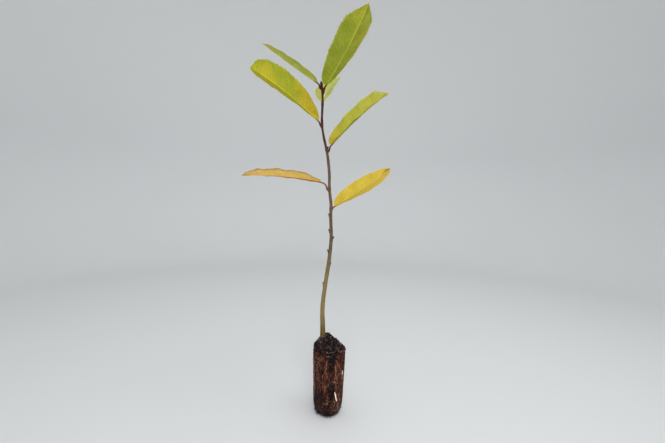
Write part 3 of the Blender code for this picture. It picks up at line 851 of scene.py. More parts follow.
def root_family(family, number):
    """Roots over the plug's sides: straight courses down the plug, at a random slant, with two
    sines of sway across and one along, so that the finest ones curl.  They end thin."""
    rng = np.random.default_rng(family.seed)
    drawn = column_draws(rng, number)
    along = np.linspace(0.0, 1.0, family.rows)
    run = drawn(*family.length)
    slant = np.radians(family.slant * rng.normal(size=(number, 1)) * 0.6)
    start = drawn(0.0, 360.0)
    top = drawn(0.006, PLUG_TOP + 0.003)
    waves, finer = drawn(0.7, 1.9), drawn(2.2, 4.6)
    phase, other = drawn(0, 6.3), drawn(0, 6.3)
    sway = family.sway * np.minimum(run / 0.03, 1.6)
    across = run * along * np.sin(slant) + sway * np.sin(2 * math.pi * waves * along + phase)
    across = across + 0.45 * sway * np.sin(2 * math.pi * finer * along + other)
    level = top - run * along * np.cos(slant)
    level = level + 0.5 * sway * np.cos(2 * math.pi * finer * along + phase)
    level = np.abs(level - ROOT_LOW) + ROOT_LOW
    level = np.minimum(level, PLUG_TOP + ROOT_HIGH)
    headings = start + np.degrees(across / PLUG_GIRTH)
    thick = drawn(*family.radius)
    radii = thick * (0.45 + 0.55 * np.sin(math.pi * (0.12 + 0.83 * along)) ** 0.6)
    lift = family.lift + thick * 0.4 + 0.0004 * noise(np.stack(np.broadcast_arrays(
        across * 3 + start, level, start), axis=-1), 0.006, family.seed)
    paths = on_plug(headings, level, lift)
    out = heading_vector(headings)
    tones = root_tones(headings.mean(axis=1), level.mean(axis=1), rng)
    return tube_rings(paths, radii, family.sides, out), tones, staining(paths)[..., None]


def fringe_rings(number):
    """Root ends round the foot: they leave the plug's side low down, and hang straighter than it
    narrows, bending out.  Gives their rings and their finishes, brown or dark."""
    rng = np.random.default_rng(19)
    drawn = column_draws(rng, number)
    along = np.linspace(0.0, 1.0, 12)
    start = drawn(0, 360)
    top = drawn(0.0016, 0.0120)
    headings = start + rng.normal(0, 6.0, (number, 1)) * along + 2.0 * np.sin(5 * along + start)
    levels = np.maximum(top - drawn(0.002, 0.008) * along**1.3, 0.0007)
    lift = drawn(-0.0014, 0.0040) * along**1.6 - 0.0003
    radii = drawn(0.00012, 0.00040) * (1.1 - 0.75 * along)
    angles = np.radians(headings)
    reach = (plug_radius(angles, top) + plug_radius(angles, levels)) / 2 + lift
    paths = around_axis(angles, reach, levels)
    return tube_rings(paths, radii, 5, heading_vector(headings)), rng.integers(1, 3, number)


def woody_rings():
    """The plug's main roots, on the same courses as in its solids, with knobbly bark: the
    heading sways by a sine as the level rises evenly."""
    along = np.linspace(0.0, 1.0, 96)
    rings, stains = [], []
    for number, root in enumerate(WOODY_ROOTS):
        sway = root.wander * np.sin(2 * math.pi * (ROOT_SWAYS * along + ROOT_PHASE * number))
        headings = root.heading + PLUG_TURN + sway + 1.1 * np.sin(23 * along + number)
        levels = root.low + (root.high - root.low) * along
        radii = root.radius * (0.40 + 0.38 * np.sin(math.pi * along) ** 0.5)
        path = on_plug(headings, levels, 0.0001)
        radii = radii * (1 + 0.13 * noise(path, 0.0022, number))
        rings.append(tube_rings(path, radii, 9, heading_vector(headings)))
        stains.append(staining(path)[:, None])
    return np.stack(rings), np.stack(stains)


def stub_rings(low, high, radius):
    """A peeled root: a short peg that bows out by a sine, thins towards its upper end and
    closes bluntly there."""
    along = np.linspace(0.0, 1.0, 26)
    headings = low[0] + (high[0] - low[0]) * along**0.7
    levels = low[1] + (high[1] - low[1]) * along
    path = on_plug(headings, levels, 0.0006 + 0.0006 * np.sin(math.pi * along))
    blunt = np.minimum(1.0, 9 * (1.03 - along))
    radii = radius * (0.70 + 0.30 * smoothstep(1.0, 0.35, along)) * blunt
    radii = radii * (1 + 0.06 * noise(path, 0.0015, 4))
    return tube_rings(path, radii, 12, heading_vector(headings))[None]


RUST = tint(104, 50, 30)
RUST_SHADE = tint(38, 15, 11)
# colour of the dark stains and of the darkening towards the plug's foot
DARK_MARK = tint(19, 14, 14)
ROOT_CRUST = tint(24, 18, 17)
IVORY_SHADE = tint(206, 184, 146)
SOIL_PIT = (0.005, 0.004, 0.004)      # the darkest packed soil
SOIL_CRUST = (0.006, 0.005, 0.005)

# Threads painted on the packed soil: width of their windings, how far a thread reaches from the
# noise's middle level, and the scale of height, which draws the windings out where it is small
THREADS = ((0.0075, 0.022, 0.75), (0.0056, 0.036, 0.22), (0.0036, 0.045, 0.30))


def stained(finish, shade, rust, damp):
    """A colour turned rusty in threads, or dark, where the piece's mark says so."""
    mark = finish.mark()
    threads = finish.ease(finish.noise(0.0024, 4.0, (1.0, 1.0, 0.17)), 0.45, 0.57)
    rusty = finish.mix(threads, RUST_SHADE, RUST)
    shade = finish.mix(finish.ease(mark, 0.05, 0.9) * rust, shade, rusty)
    return finish.mix(finish.fade(mark, -0.8, -0.1) * damp, shade, DARK_MARK)


def root_finish(name, shade, darker):
    """Thin bark: two tones in streaks, stained in places, with fine cross cracks."""
    finish = Finish(name, Specular_IOR_Level=0.12)
    streak = finish.ease(finish.noise(0.0026, 4.0), 0.44, 0.56)
    crust = finish.ease(finish.noise(0.0030, 3.0), 0.50, 0.56)
    shaded = stained(finish, finish.mix(streak * 0.7, shade, darker), 0.25, 0.65)
    shaded = finish.mix(crust * 0.6, shaded, ROOT_CRUST)
    cracks = finish.noise(0.0009, 3.0, (1.0, 1.0, 2.2))
    return finish.feed({"Base Color": shaded, "Roughness": 0.5 + 0.3 * streak,
                        "Normal": finish.bump(cracks, 0.00012, 0.8)})


def core_finish(settings):
    """Packed compost: near-black grains, matted brown fibre in upright streaks, a damp sheen."""
    finish = Finish("packed_soil", Specular_IOR_Level=0.08)
    grain = finish.noise(0.0024, 6.0, roughness=0.7)
    fibre = finish.ease(finish.noise(0.0026, 5.0, (1.0, 1.0, 0.16)), 0.48, 0.58)
    matted = finish.ease(finish.noise(0.007, 3.0), 0.40, 0.60)
    dark = finish.mix(finish.ease(grain, 0.35, 0.7), SOIL_PIT, settings.soil)
    fibrous = finish.mix(fibre * (0.25 + 0.75 * matted), dark, settings.fibre)
    shade = stained(finish, fibrous, 0.75, 0.95)
    clear = 0.85 * finish.ease(finish.mark(), -0.7, -0.1)
    for size, reach, stretch in THREADS:
        winding = abs(finish.noise(size, 2.0, (1.0, 1.0, stretch)) - 0.5)
        broken = finish.ease(finish.noise(0.007), 0.40, 0.54)
        thread = finish.fade(winding, 0.0, reach) * broken
        shade = finish.mix(thread * clear, shade, settings.thread)
    shade = finish.mix(finish.ease(grain, 0.50, 0.62) * 0.55, shade, SOIL_CRUST)
    rough = finish.bump(grain, 0.0007, 1.0)
    return finish.feed({"Base Color": shade,
                        "Roughness": 0.95 - 0.3 * finish.ease(grain, 0.55, 0.75),
                        "Normal": finish.bump(fibre, 0.0003, 0.7, rough)})


def ivory_finish(settings):
    """Peeled wood: long pale fibres, slightly browned in the hollows."""
    finish = Finish("peeled_wood", Roughness=0.5)
    streak = finish.noise(0.0006, 4.0, (1.0, 1.0, 0.2))
    shade = finish.mix(finish.ease(streak, 0.55, 0.8), settings.ivory, IVORY_SHADE)
    return finish.feed({"Base Color": shade, "Normal": finish.bump(streak, 0.00008, 0.6)})


class SAPLING_OT_root_ball(bpy.types.Operator):
    """Makes the packed soil of the plug and the roots that bind it"""
    bl_idname = "sapling.root_ball"
    bl_label = "Root ball"

    def execute(self, context):
        settings = context.scene.sapling.root_ball
        slot = "root_bound_soil"
        rings = core_rings()
        Shape().add(rings, mark=staining(rings)).make(
            "plug_soil", slot, [core_finish(settings)], "root_ball", sharp=80.0)

        finishes = [
            root_finish("root_orange", settings.orange_root, settings.brown_root),
            root_finish("root_brown", settings.brown_root, settings.dark_root),
            root_finish("root_dark", settings.dark_root, settings.soil),
            root_finish("root_pale", settings.pale_root, settings.brown_root),
        ]
        rings, stains = woody_rings()
        woody = Shape().add(rings, finish=WOODY_TONES[:, None, None], mark=stains)
        rings, tones, stains = root_family(CORD, settings.cord_roots)
        woody.add(rings, finish=tones[:, None, None], mark=stains)
        woody.make("woody_roots", slot, finishes, sharp=80.0)
        for name, family, number in (("root_mat", MAT, settings.mat_roots),
                                     ("root_hairs", HAIR, settings.hair_roots),
                                     ("root_curls", CURL, settings.curls)):
            rings, tones, stains = root_family(family, number)
            if family is CURL:      # which are pale or orange
                tones = np.where(tones < 2, 3, 0)
            Shape().add(rings, finish=tones[:, None, None], mark=stains).make(
                name, slot, finishes, sharp=80.0)
        rings, tones = fringe_rings(settings.fringe)
        Shape().add(rings, finish=tones[:, None, None], mark=FRINGE_MARK).make(
            "root_fringe", slot, finishes, sharp=80.0)
        stub = Shape().add(stub_rings(STUB_LOW, STUB_HIGH, STUB_RADIUS))
        stub.add(stub_rings(CHIP_LOW, CHIP_HIGH, CHIP_RADIUS))
        stub.make("peeled_root_stub", slot, [ivory_finish(settings)])
        return {"FINISHED"}


# ---------------------------------------------------------------- loose soil
MOUND_COLUMNS = 240
MOUND_ROWS = 110
BAND_ROWS = 10                # rows between the plug's top and the rim
MOUND_GRAIN = 0.0046
CRUMB_SPREAD = 0.52           # usual difference between the logarithms of the crumbs' sizes
CRUMB_BLACK = tint(15, 12, 14)
CRUMB_RUST = tint(72, 44, 34)
GRIT_SHADE = tint(88, 70, 68)
SPECK_RADIUS = 0.00078
# Pale specks that show from the front: heading and part of the way out to the rim
FRONT_SPECKS = ((-98, 0.47), (-142, 0.72), (-47, 0.50), (-52, 0.78), (-99, 0.97), (-89, 0.97))


def mound_rings():
    """The loose soil: rings from below its middle, out over the plug, up the rim and in to the
    peak, moved out and up by crumbling noise."""
    angles = full_turn(MOUND_COLUMNS)
    shares = np.array([[0.1], [0.6], [0.985]])
    under = around_axis(angles, plug_radius(angles, PLUG_TOP) * shares, PLUG_TOP)
    rim = on_mound(angles, np.ones((1, MOUND_COLUMNS)))
    band = np.linspace(0.08, 0.95, BAND_ROWS)[:, None, None]
    side = under[-1] * (1 - band) + rim * band
    part = np.linspace(1.0, 0.03, MOUND_ROWS)[:, None] * np.ones(MOUND_COLUMNS)
    top = on_mound(angles, part)
    plain = np.concatenate((under, side, top))
    push = np.concatenate((np.zeros(len(shares)), np.linspace(0.3, 1.0, BAND_ROWS),
                           np.ones(MOUND_ROWS)))[:, None]
    out = heading_vector(np.degrees(angles)) * 0.6 + np.array((0.0, 0.0, 0.6))
    depth = bpy.context.scene.sapling.soil.crumble
    rough = depth * (crumbling(plain, MOUND_GRAIN, 4, 23) - 0.35) * push
    return (plain + rough[..., None] * out)[None]


def crumb_places(number, rng, low_share):
    """Random places on the mound, even by area, from a share of the way out to the rim."""
    angles = rng.uniform(0, 2 * math.pi, number)
    part = np.sqrt(rng.uniform(low_share**2, 1.03, number))
    return on_mound(angles, np.minimum(part, 1.0))


def strand_rings(number, rng):
    """Bleached fibres on the mound: each winds round and down from a random place."""
    drawn = column_draws(rng, number)
    along = np.linspace(0.0, 1.0, 20)
    start = drawn(0, 2 * math.pi)
    part = np.sqrt(drawn(0.02, 0.9)) + drawn(-0.25, 0.25) * along
    part = np.clip(part, 0.08, 1.0)
    turn = start + drawn(-0.5, 0.5) * along / part + 0.05 * np.sin(7 * along + start)
    paths = on_mound(turn, part) + 0.0007 * UP
    radii = drawn(0.00010, 0.00022) * (1.0 - 0.5 * along)
    return tube_rings(paths, radii, 5, UP)


def soil_finish(name, shade, second, shine=0.08):
    """Grainy compost of two tones."""
    finish = Finish(name, Specular_IOR_Level=shine)
    grain = finish.noise(0.0014, 6.0, roughness=0.7)
    blotch = finish.ease(finish.noise(0.0036, 4.0), 0.47, 0.60)
    return finish.feed({"Base Color": finish.mix(blotch * 0.9, shade, second),
                        "Roughness": 0.98 - 0.25 * finish.ease(grain, 0.5, 0.75),
                        "Normal": finish.bump(grain, 0.0005, 1.0)})


class SAPLING_OT_soil(bpy.types.Operator):
    """Makes the mound of loose soil, its crumbs, its pale grit and its fibres"""
    bl_idname = "sapling.soil"
    bl_label = "Loose soil"

    def execute(self, context):
        settings = context.scene.sapling.soil
        slot = "loose_soil"
        Shape().add(mound_rings()).make(
            "soil_mound", slot, [soil_finish("mound_soil", settings.black, settings.brown)],
            "soil_crown", sharp=80.0)

        rng = np.random.default_rng(31)
        number = settings.crumbs
        third, sixth = number // 3, number // 6
        on_top = crumb_places(number, rng, 0.12)
        on_band = on_plug(rng.uniform(0, 360, third),
                          rng.uniform(PLUG_TOP - 0.007, RIM - 0.001, third), -0.0001)
        on_side = on_plug(rng.uniform(0, 360, third),
                          PLUG_TOP * rng.uniform(0.02, 1.0, third) ** 1.3, -0.0001)
        at_foot = on_plug(rng.uniform(0, 360, sixth), rng.uniform(0.0012, 0.0090, sixth), 0.0)
        centres = np.concatenate((on_top, on_band, on_side, at_foot))
        radii = settings.crumb * np.exp(CRUMB_SPREAD * rng.normal(size=len(centres)))
        radii = np.clip(radii, settings.crumb * 0.4, settings.crumb * 2.9)
        radii[len(on_top):] *= 0.72
        centres[:, 2] = np.maximum(centres[:, 2], radii * 1.3 + GROUND_GAP)
        tones = rng.choice(3, len(centres), p=(0.62, 0.28, 0.10))
        Shape().add(lumps(centres, radii, rng), finish=tones[:, None, None]).make(
            "soil_crumbs", slot, [
                soil_finish("crumb_black", settings.black, CRUMB_BLACK),
                soil_finish("crumb_brown", settings.brown, settings.black),
                soil_finish("crumb_rust", CRUMB_RUST, settings.brown),
            ], sharp=30.0)

        chosen = np.array(FRONT_SPECKS)
        shown = on_mound(np.radians(chosen[:, 0]), chosen[:, 1])
        shown = shown + unit(heading_vector(chosen[:, 0]) + UP) * 0.0008
        others = crumb_places(settings.grit, rng, 0.2) + 0.0005 * UP
        centres = np.concatenate((shown, others))
        radii = np.concatenate((np.full(len(shown), SPECK_RADIUS),
                                rng.uniform(0.00022, 0.0006, len(others))))
        Shape().add(lumps(centres, radii, rng)).add(strand_rings(settings.strands, rng)).make(
            "pale_grit", slot, [soil_finish("grit", settings.pale, GRIT_SHADE, 0.4)], sharp=30.0)
        return {"FINISHED"}


# ---------------------------------------------------------------- stem and buds
BARK_COLUMNS = 44
BARK_PITCH = 0.00072
KNOBBLE = 0.00016             # height of the bark's slow unevenness
KNOBBLE_SPREAD = 0.009
CORK_RISE = 0.00013           # how far a corky pore stands out
SCAR_WIDTH = 50.0             # degrees to either side of a leaf scar's cushion
SCAR_HEIGHT = 0.0019
SCAR_DROP = 0.0012            # how far the cushion lies below the stalk's middle
SCAR_BULGE = 0.00080
BARK_CREVICE = tint(46, 32, 26)
BARK_BLOOM = tint(124, 114, 90)
CORK = tint(140, 118, 90)
BUD_SHADE = tint(44, 24, 22)


def bark_rings(settings):
    """The stem: level circles on its axis.  Upright wrinkles, corky pores that stand out as
    small ovals, and a cushion under every leaf stalk and bud change the radius.
    Also gives each point's share of cork."""
    heights = np.arange(STEM_FOOT, STEM_TIP + 0.0004, BARK_PITCH)[:, None]
    turn = np.arange(BARK_COLUMNS) * (360.0 / BARK_COLUMNS)     # degrees
    radius = stem_radius(heights[:, 0])[:, None]
    out = heading_vector(turn)
    plain = stem_axis(heights[:, 0])[:, None] + radius[..., None] * out

    wrinkles = crumbling(plain * np.array((1.0, 1.0, 0.22)), 0.0011, 3, 41)
    knobbles = noise(plain, KNOBBLE_SPREAD, 43)
    growth = settings.relief * wrinkles + KNOBBLE * knobbles

    rng = np.random.default_rng(47)
    number = settings.lenticels
    place = rng.uniform(STEM_FOOT + 0.012, STEM_TIP - 0.015, number)
    facing = rng.uniform(0, 360, number)
    tall = rng.uniform(0.0004, 0.0009, number)
    wide = rng.uniform(0.00022, 0.00042, number)
    cork = np.zeros(growth.shape)
    for z, heading, half_height, half_width in zip(place, facing, tall, wide):
        across = np.radians(turned_from(turn, heading)) * radius
        cork += np.exp(-((heights - z) / half_height) ** 2 - (across / half_width) ** 2)
    growth = growth + CORK_RISE * np.minimum(cork, 1.0)

    for node in (*LEAVES, *BUDS):
        above = (heights - node.height + SCAR_DROP) / SCAR_HEIGHT
        away = turned_from(turn, node.heading) / SCAR_WIDTH
        growth = growth + SCAR_BULGE * np.exp(-above**2 - away**2)
    return (plain + growth[..., None] * out)[None], np.minimum(cork, 1.0)[None]


def bud_rings(root, direction, length, radius):
    """One bud: a pointed egg, round by a power of a sine along its length, whose skin steps out
    along a spiral, as overlapping scales do."""
    rows, columns = 30, 20
    part = np.linspace(0.0, 1.0, rows)[:, None]
    turn = full_turn(columns)
    egg = np.sin(math.pi * (0.22 + 0.78 * part)) ** 0.85
    scale = (2.6 * part - turn / (2 * math.pi)) % 1.0
    size = radius * np.maximum(egg, 0.02) * (0.86 + 0.22 * scale)
    side = unit(np.cross(direction, (0.31, 0.17, 0.93)))
    other = np.cross(direction, side)
    circle = np.cos(turn)[:, None] * side + np.sin(turn)[:, None] * other
    return root + direction * (length * part)[..., None] + size[..., None] * circle


def bark_finish(settings):
    """Bark: olive at the soil, tan, grey-brown, then maroon at the tip, in upright streaks, with
    pale cork on the pores and a satin skin that is smoother higher up."""
    finish = Finish("bark", Specular_IOR_Level=0.12)
    high = ((finish.height() - STEM_FOOT) / (STEM_TIP - STEM_FOOT)).clipped()
    drift = finish.noise(0.012, 3.0)
    ramp = finish.node("ShaderNodeValToRGB", {"stops": (
        (0.04, settings.foot), (0.12, settings.lower), (0.25, settings.lower),
        (0.38, settings.middle), (0.49, settings.middle), (0.58, settings.grey),
        (0.69, settings.grey), (0.76, settings.upper), (0.88, settings.upper),
        (0.95, settings.tip))}, {0: high + 0.10 * (drift - 0.5)})
    streak = finish.ease(finish.noise(0.0011, 5.0, (1.0, 1.0, 0.18)), 0.38, 0.66)
    mottle = finish.ease(finish.noise(0.0045, 4.0), 0.45, 0.70)
    shade = finish.mix(streak * 0.30, ramp, BARK_CREVICE)
    aged = finish.ease(high, 0.68, 0.84, 1.0, 0.2)
    shade = finish.mix(mottle * aged * 0.22, shade, BARK_BLOOM)
    shade = finish.mix(finish.mark() * aged * 0.6, shade, CORK)
    return finish.feed({"Base Color": shade, "Roughness": 0.66 - 0.2 * high,
                        "Normal": finish.bump(streak, 0.00009, 0.8)})


def bud_finish(name, shade):
    """Bud scales: glossy red-brown, darker and drier at their edges."""
    finish = Finish(name, Specular_IOR_Level=0.15)
    blotch = finish.ease(finish.noise(0.0012, 4.0), 0.42, 0.68)
    return finish.feed({"Base Color": finish.mix(blotch * 0.7, shade, BUD_SHADE),
                        "Roughness": 0.38 + 0.3 * blotch,
                        "Normal": finish.bump(finish.noise(0.0004), 0.00006, 0.6)})


class SAPLING_OT_stem(bpy.types.Operator):
    """Makes the bark and the buds"""
    bl_idname = "sapling.stem"
    bl_label = "Stem and buds"

    def execute(self, context):
        settings = context.scene.sapling.stem
        rings, cork = bark_rings(settings)
        Shape().add(rings, mark=cork).make(
            "stem_bark", "bark", [bark_finish(settings)], "stem", sharp=60.0)

        lean = math.radians(BUD_LEAN)
        buds = Shape()
        for bud in BUDS:
            out = heading_vector(bud.heading)
            root = stem_axis(bud.height) + out * (stem_radius(bud.height) - BUD_SUNK * bud.radius)
            direction = out * math.sin(lean) + UP * math.cos(lean)
            buds.add(bud_rings(root, direction, bud.length, bud.radius)[None])
        top = stem_axis(STEM_TIP)
        course = unit(top - stem_axis(STEM_TIP - LAST_SHOOT))
        buds.add(bud_rings(top - course * TERMINAL_SUNK, course, *TERMINAL_BUD)[None])
        buds.make("buds", "bark", [bud_finish("bud_scales", settings.bud)], sharp=35.0)
        return {"FINISHED"}


# ---------------------------------------------------------------- leaves
# Rows of a blade between two side veins of the left half, in shares: close together at the
# teeth and veins of the left half (0) and of the right half (0.5), which stand alternately
ROW_PHASES = (0.0, 0.03, 0.10, 0.22, 0.36, 0.46, 0.5, 0.53, 0.60, 0.72, 0.86, 0.96)
COLUMN_SHARES = (0.018, 0.05, 0.12, 0.22, 0.34, 0.47, 0.60, 0.72, 0.82, 0.90, 0.96, 1.0)
VEIN_SLOPE = 0.84             # how far a side vein runs forward for each step outwards
VEIN_WIDTH = 0.045            # half a side vein's width, in spacings of the veins
SPINE_POINTS = 241
FOLD_AT_RIB = 1.18            # how steeply a half is folded, as a share of the leaf's fold
FOLD_EASING = 0.36            # and by how much less at the margin
GROOVE_DEPTH = 0.0003         # groove over the midrib
GROOVE_WIDTH = 0.0008
BLADE_POINT = 0.0012          # how far the blade's last point stands out
RIB_START = 0.02              # shares of the blade's length where the midrib starts and ends
RIB_END = 0.965
RIB_END_RADIUS = 0.00012
STALK_WAIST = 0.92            # the stalk's radius at the blade, as a share of STALK_RADIUS
STALK_SWELL = 0.95            # and how much more at its foot
STALK_UV = 0.25               # share of the UVs' first coordinate that the stalk takes up
MOTTLE_DEPTH = 0.55           # how bright the mottles are, as a share of the body's colour
BETWEEN_VEINS = tint(104, 112, 40)
SPOT = tint(140, 92, 46)
UNDERSIDE_DOWN = tint(222, 220, 180)


def outline_width(part, leaf):
    """Half the blade's width along its length: part^a (1 - part)^b, scaled to the full width.
    From a certain distance to the tip the second power becomes a straight line."""
    a, b = leaf.base_power, leaf.tip_power
    widest = a / (a + b)
    full = widest**a * (1 - widest) ** b
    left = 1 - part
    closing = np.where(left < leaf.point, leaf.point ** (b - 1) * left, left**b)
    return leaf.width / 2 * part**a * closing / full


def blade_frame(leaf, part):
    """Directions along the midrib, across the blade and up from it, at shares of its length."""
    heading = np.radians(leaf.heading + leaf.sweep * part)
    rise = np.radians(leaf.rise - leaf.droop * part)
    level = np.cos(rise)
    along = np.stack((level * np.cos(heading), level * np.sin(heading), np.sin(rise)), -1)
    side = np.stack((-np.sin(heading), np.cos(heading), np.zeros_like(heading)), -1)
    up = np.cross(along, side)
    roll = np.radians(leaf.roll + leaf.twist * part)[..., None]
    return along, side * np.cos(roll) + up * np.sin(roll), up * np.cos(roll) - side * np.sin(roll)


def run_along(start, along, length):
    """Points that start at a place and step along the given directions for a length."""
    steps = (along[1:] + along[:-1]) / 2 * (length / (len(along) - 1))
    return start + np.concatenate((np.zeros((1, 3)), np.cumsum(steps, axis=0)))


def stalk_course(leaf):
    """The stalk's middle line: it leaves the stem's side steeply and levels out to the blade."""
    part = np.linspace(0.0, 1.0, 5)
    rise = np.radians(leaf.stalk_rise + (leaf.rise - leaf.stalk_rise) * part)
    flat = heading_vector(leaf.heading)
    along = np.cos(rise)[:, None] * flat + np.sin(rise)[:, None] * UP
    foot = STALK_RADIUS * STALK_FOOT
    offset = stem_radius(leaf.height) + LEAF_GAP + foot * math.sin(rise[0])
    return run_along(stem_axis(leaf.height) + flat * offset, along, leaf.stalk)


def spine(leaf, part):
    """Points of the midrib's line at shares of the blade's length."""
    even = np.linspace(0.0, 1.0, SPINE_POINTS)
    points = run_along(stalk_course(leaf)[-1], blade_frame(leaf, even)[0], leaf.length)
    return points_at(part, even, points)


def blade_rings(leaf, settings, phase):
    """One blade as rings round its section, foot to tip.  A row follows a pair of side veins: it
    leaves the midrib at a share a of the length and reaches the margin further forward.  The
    height is the fold of the halves, plus long waves, a ruffled margin and a bulge between side
    veins.  Teeth rise along the margin to each side vein's end and fall back at once.
    Also gives the points' (a, across) as UVs, and the two poles."""
    teeth = settings.teeth
    a = (np.arange(teeth)[:, None] + np.array(ROW_PHASES)).ravel() / teeth
    a = np.clip(a, 0.0025, 0.9975)
    across = np.concatenate((-np.array(COLUMN_SHARES[::-1]), (0.0,), COLUMN_SHARES))
    a, across = np.meshgrid(a, across, indexing="ij")
    off, hand = np.abs(across), np.sign(across)
    reach = VEIN_SLOPE * leaf.width / 2 / leaf.length
    part = np.minimum(a + reach * 4 * a * (1 - a) * off**1.25, 0.9985)
    along, side, up = blade_frame(leaf, part)
    half = outline_width(part, leaf) * (1 + hand * leaf.lopsided)

    step = (a * teeth + 0.5 * (across > 0)) % 1.0
    ends = np.clip(7 * a, 0, 1) * np.clip(9 * (1 - a), 0, 1)
    tooth = settings.tooth * (step**2.0 - 0.6) * off**6 * ends
    tip = (step < 1e-6) & (off == 1.0)
    tooth = np.where(tip, settings.tooth * 0.42 * ends, tooth)
    out = np.maximum(half, settings.thickness * 1.2) * off * (1 + tooth)
    out = out + settings.bristle * tip * ends
    lean = np.where(tip, settings.bristle * 1.5, 0.0011 * step**3) * off**5 * ends

    fold = np.radians(leaf.fold) * (FOLD_AT_RIB - FOLD_EASING * off)
    width = np.minimum(half / leaf.width * 4, 1.0)
    wave = WAVE * np.sin(math.pi * off) * np.sin(2 * math.pi * WAVES * part + across) * width
    ruffle = np.sin(2 * math.pi * (4.3 * a + 0.3 * hand) + phase) + 0.6 * np.sin(
        2 * math.pi * (7.9 * a - 0.2 * hand) + 2.1 * phase)
    ruffle = settings.ruffle * RUFFLE_SHARES.get(leaf.name, 1.0) * ruffle * off**3 * width * 0.6
    pleat = settings.pleat * (np.sin(math.pi * step) ** 0.8 - 0.5)
    pleat = pleat * np.sqrt(off) * (1 - off**3) * width
    lift = (out * np.sin(fold) + wave + ruffle + pleat)[..., None]
    centre = spine(leaf, part) + side * (hand * out * np.cos(fold))[..., None] + up * lift
    centre = centre + along * lean[..., None]
    normal = up * np.cos(fold)[..., None] - side * (hand * np.sin(fold))[..., None]

    near = np.minimum(step, 1 - step)
    ridge = settings.vein * np.exp(-(near / VEIN_WIDTH) ** 2) * np.sqrt(1 - off * 0.95) * width
    groove = GROOVE_DEPTH * np.exp(-(out / GROOVE_WIDTH) ** 2) * (1 - 0.7 * part)
    thin = settings.thickness / 2 * (1 - 0.5 * off**4)
    top = centre + normal * (thin - 0.35 * ridge - groove)[..., None]
    below = centre - normal * (thin + ridge)[..., None]
    rings = np.concatenate((top, below[:, ::-1]), axis=1)
    place = np.stack((a, (across + 1) / 2), axis=-1)
    uv = np.concatenate((place, place[:, ::-1]), axis=1)
    point = spine(leaf, np.array(1.0)) + BLADE_POINT * along[-1, len(COLUMN_SHARES)]
    poles = np.stack((spine(leaf, np.array(0.0)), point))
    return rings[None], uv[None], poles[None]


def stalk_rings(leaf, settings):
    """One stalk and midrib as a tube: from inside the stem, out of the leaf's cushion on a
    quadratic Bezier curve, along the stalk and then half sunk in the blade's underside, ever
    thinner, to the tip."""
    stalk = stalk_course(leaf)
    flat = heading_vector(leaf.heading)
    inside = stem_axis(leaf.height - 0.0030) + flat * stem_radius(leaf.height) * 0.2
    elbow = stem_axis(leaf.height - 0.0012) + flat * (stem_radius(leaf.height) + 0.0003)
    t = np.linspace(0.0, 1.0, 7)[:-1, None]
    foot = (1 - t) ** 2 * inside + 2 * t * (1 - t) * elbow + t**2 * stalk[0]
    part = np.linspace(RIB_START, RIB_END, 80)
    _, _, up = blade_frame(leaf, part)
    sunk = settings.thickness / 2 + 0.25 * (0.00078 * (1 - part) ** 0.75 + 0.00014)
    rib = spine(leaf, part) - up * sunk[:, None]
    path = np.concatenate((foot, stalk[:-1], rib))
    walked = np.concatenate(([0.0], np.cumsum(np.linalg.norm(np.diff(path, axis=0), axis=1))))
    joint, end = walked[len(foot) + len(stalk)], walked[-1]
    even = np.concatenate((np.linspace(0, joint, 26)[:-1], np.linspace(joint, end, 90)))
    path = points_at(even, walked, path)
    share_of_stalk = np.clip(even / joint, 0, 1)
    share_of_rib = np.clip((even - joint) / (end - joint), 0, 1)
    radii = np.where(even < joint,
                     STALK_RADIUS * (STALK_WAIST + STALK_SWELL * (1 - share_of_stalk) ** 2),
                     STALK_RADIUS * STALK_WAIST * (1 - share_of_rib) ** 0.8 + RIB_END_RADIUS)
    rings = tube_rings(path, radii, 12, np.array((0.13, 0.21, 0.97)) if leaf.rise < 20 else flat)
    uv = np.stack((STALK_UV * share_of_stalk + (1 - STALK_UV) * share_of_rib,
                   np.zeros(len(even))), axis=-1)
    return rings[None], uv[None, :, None, :]


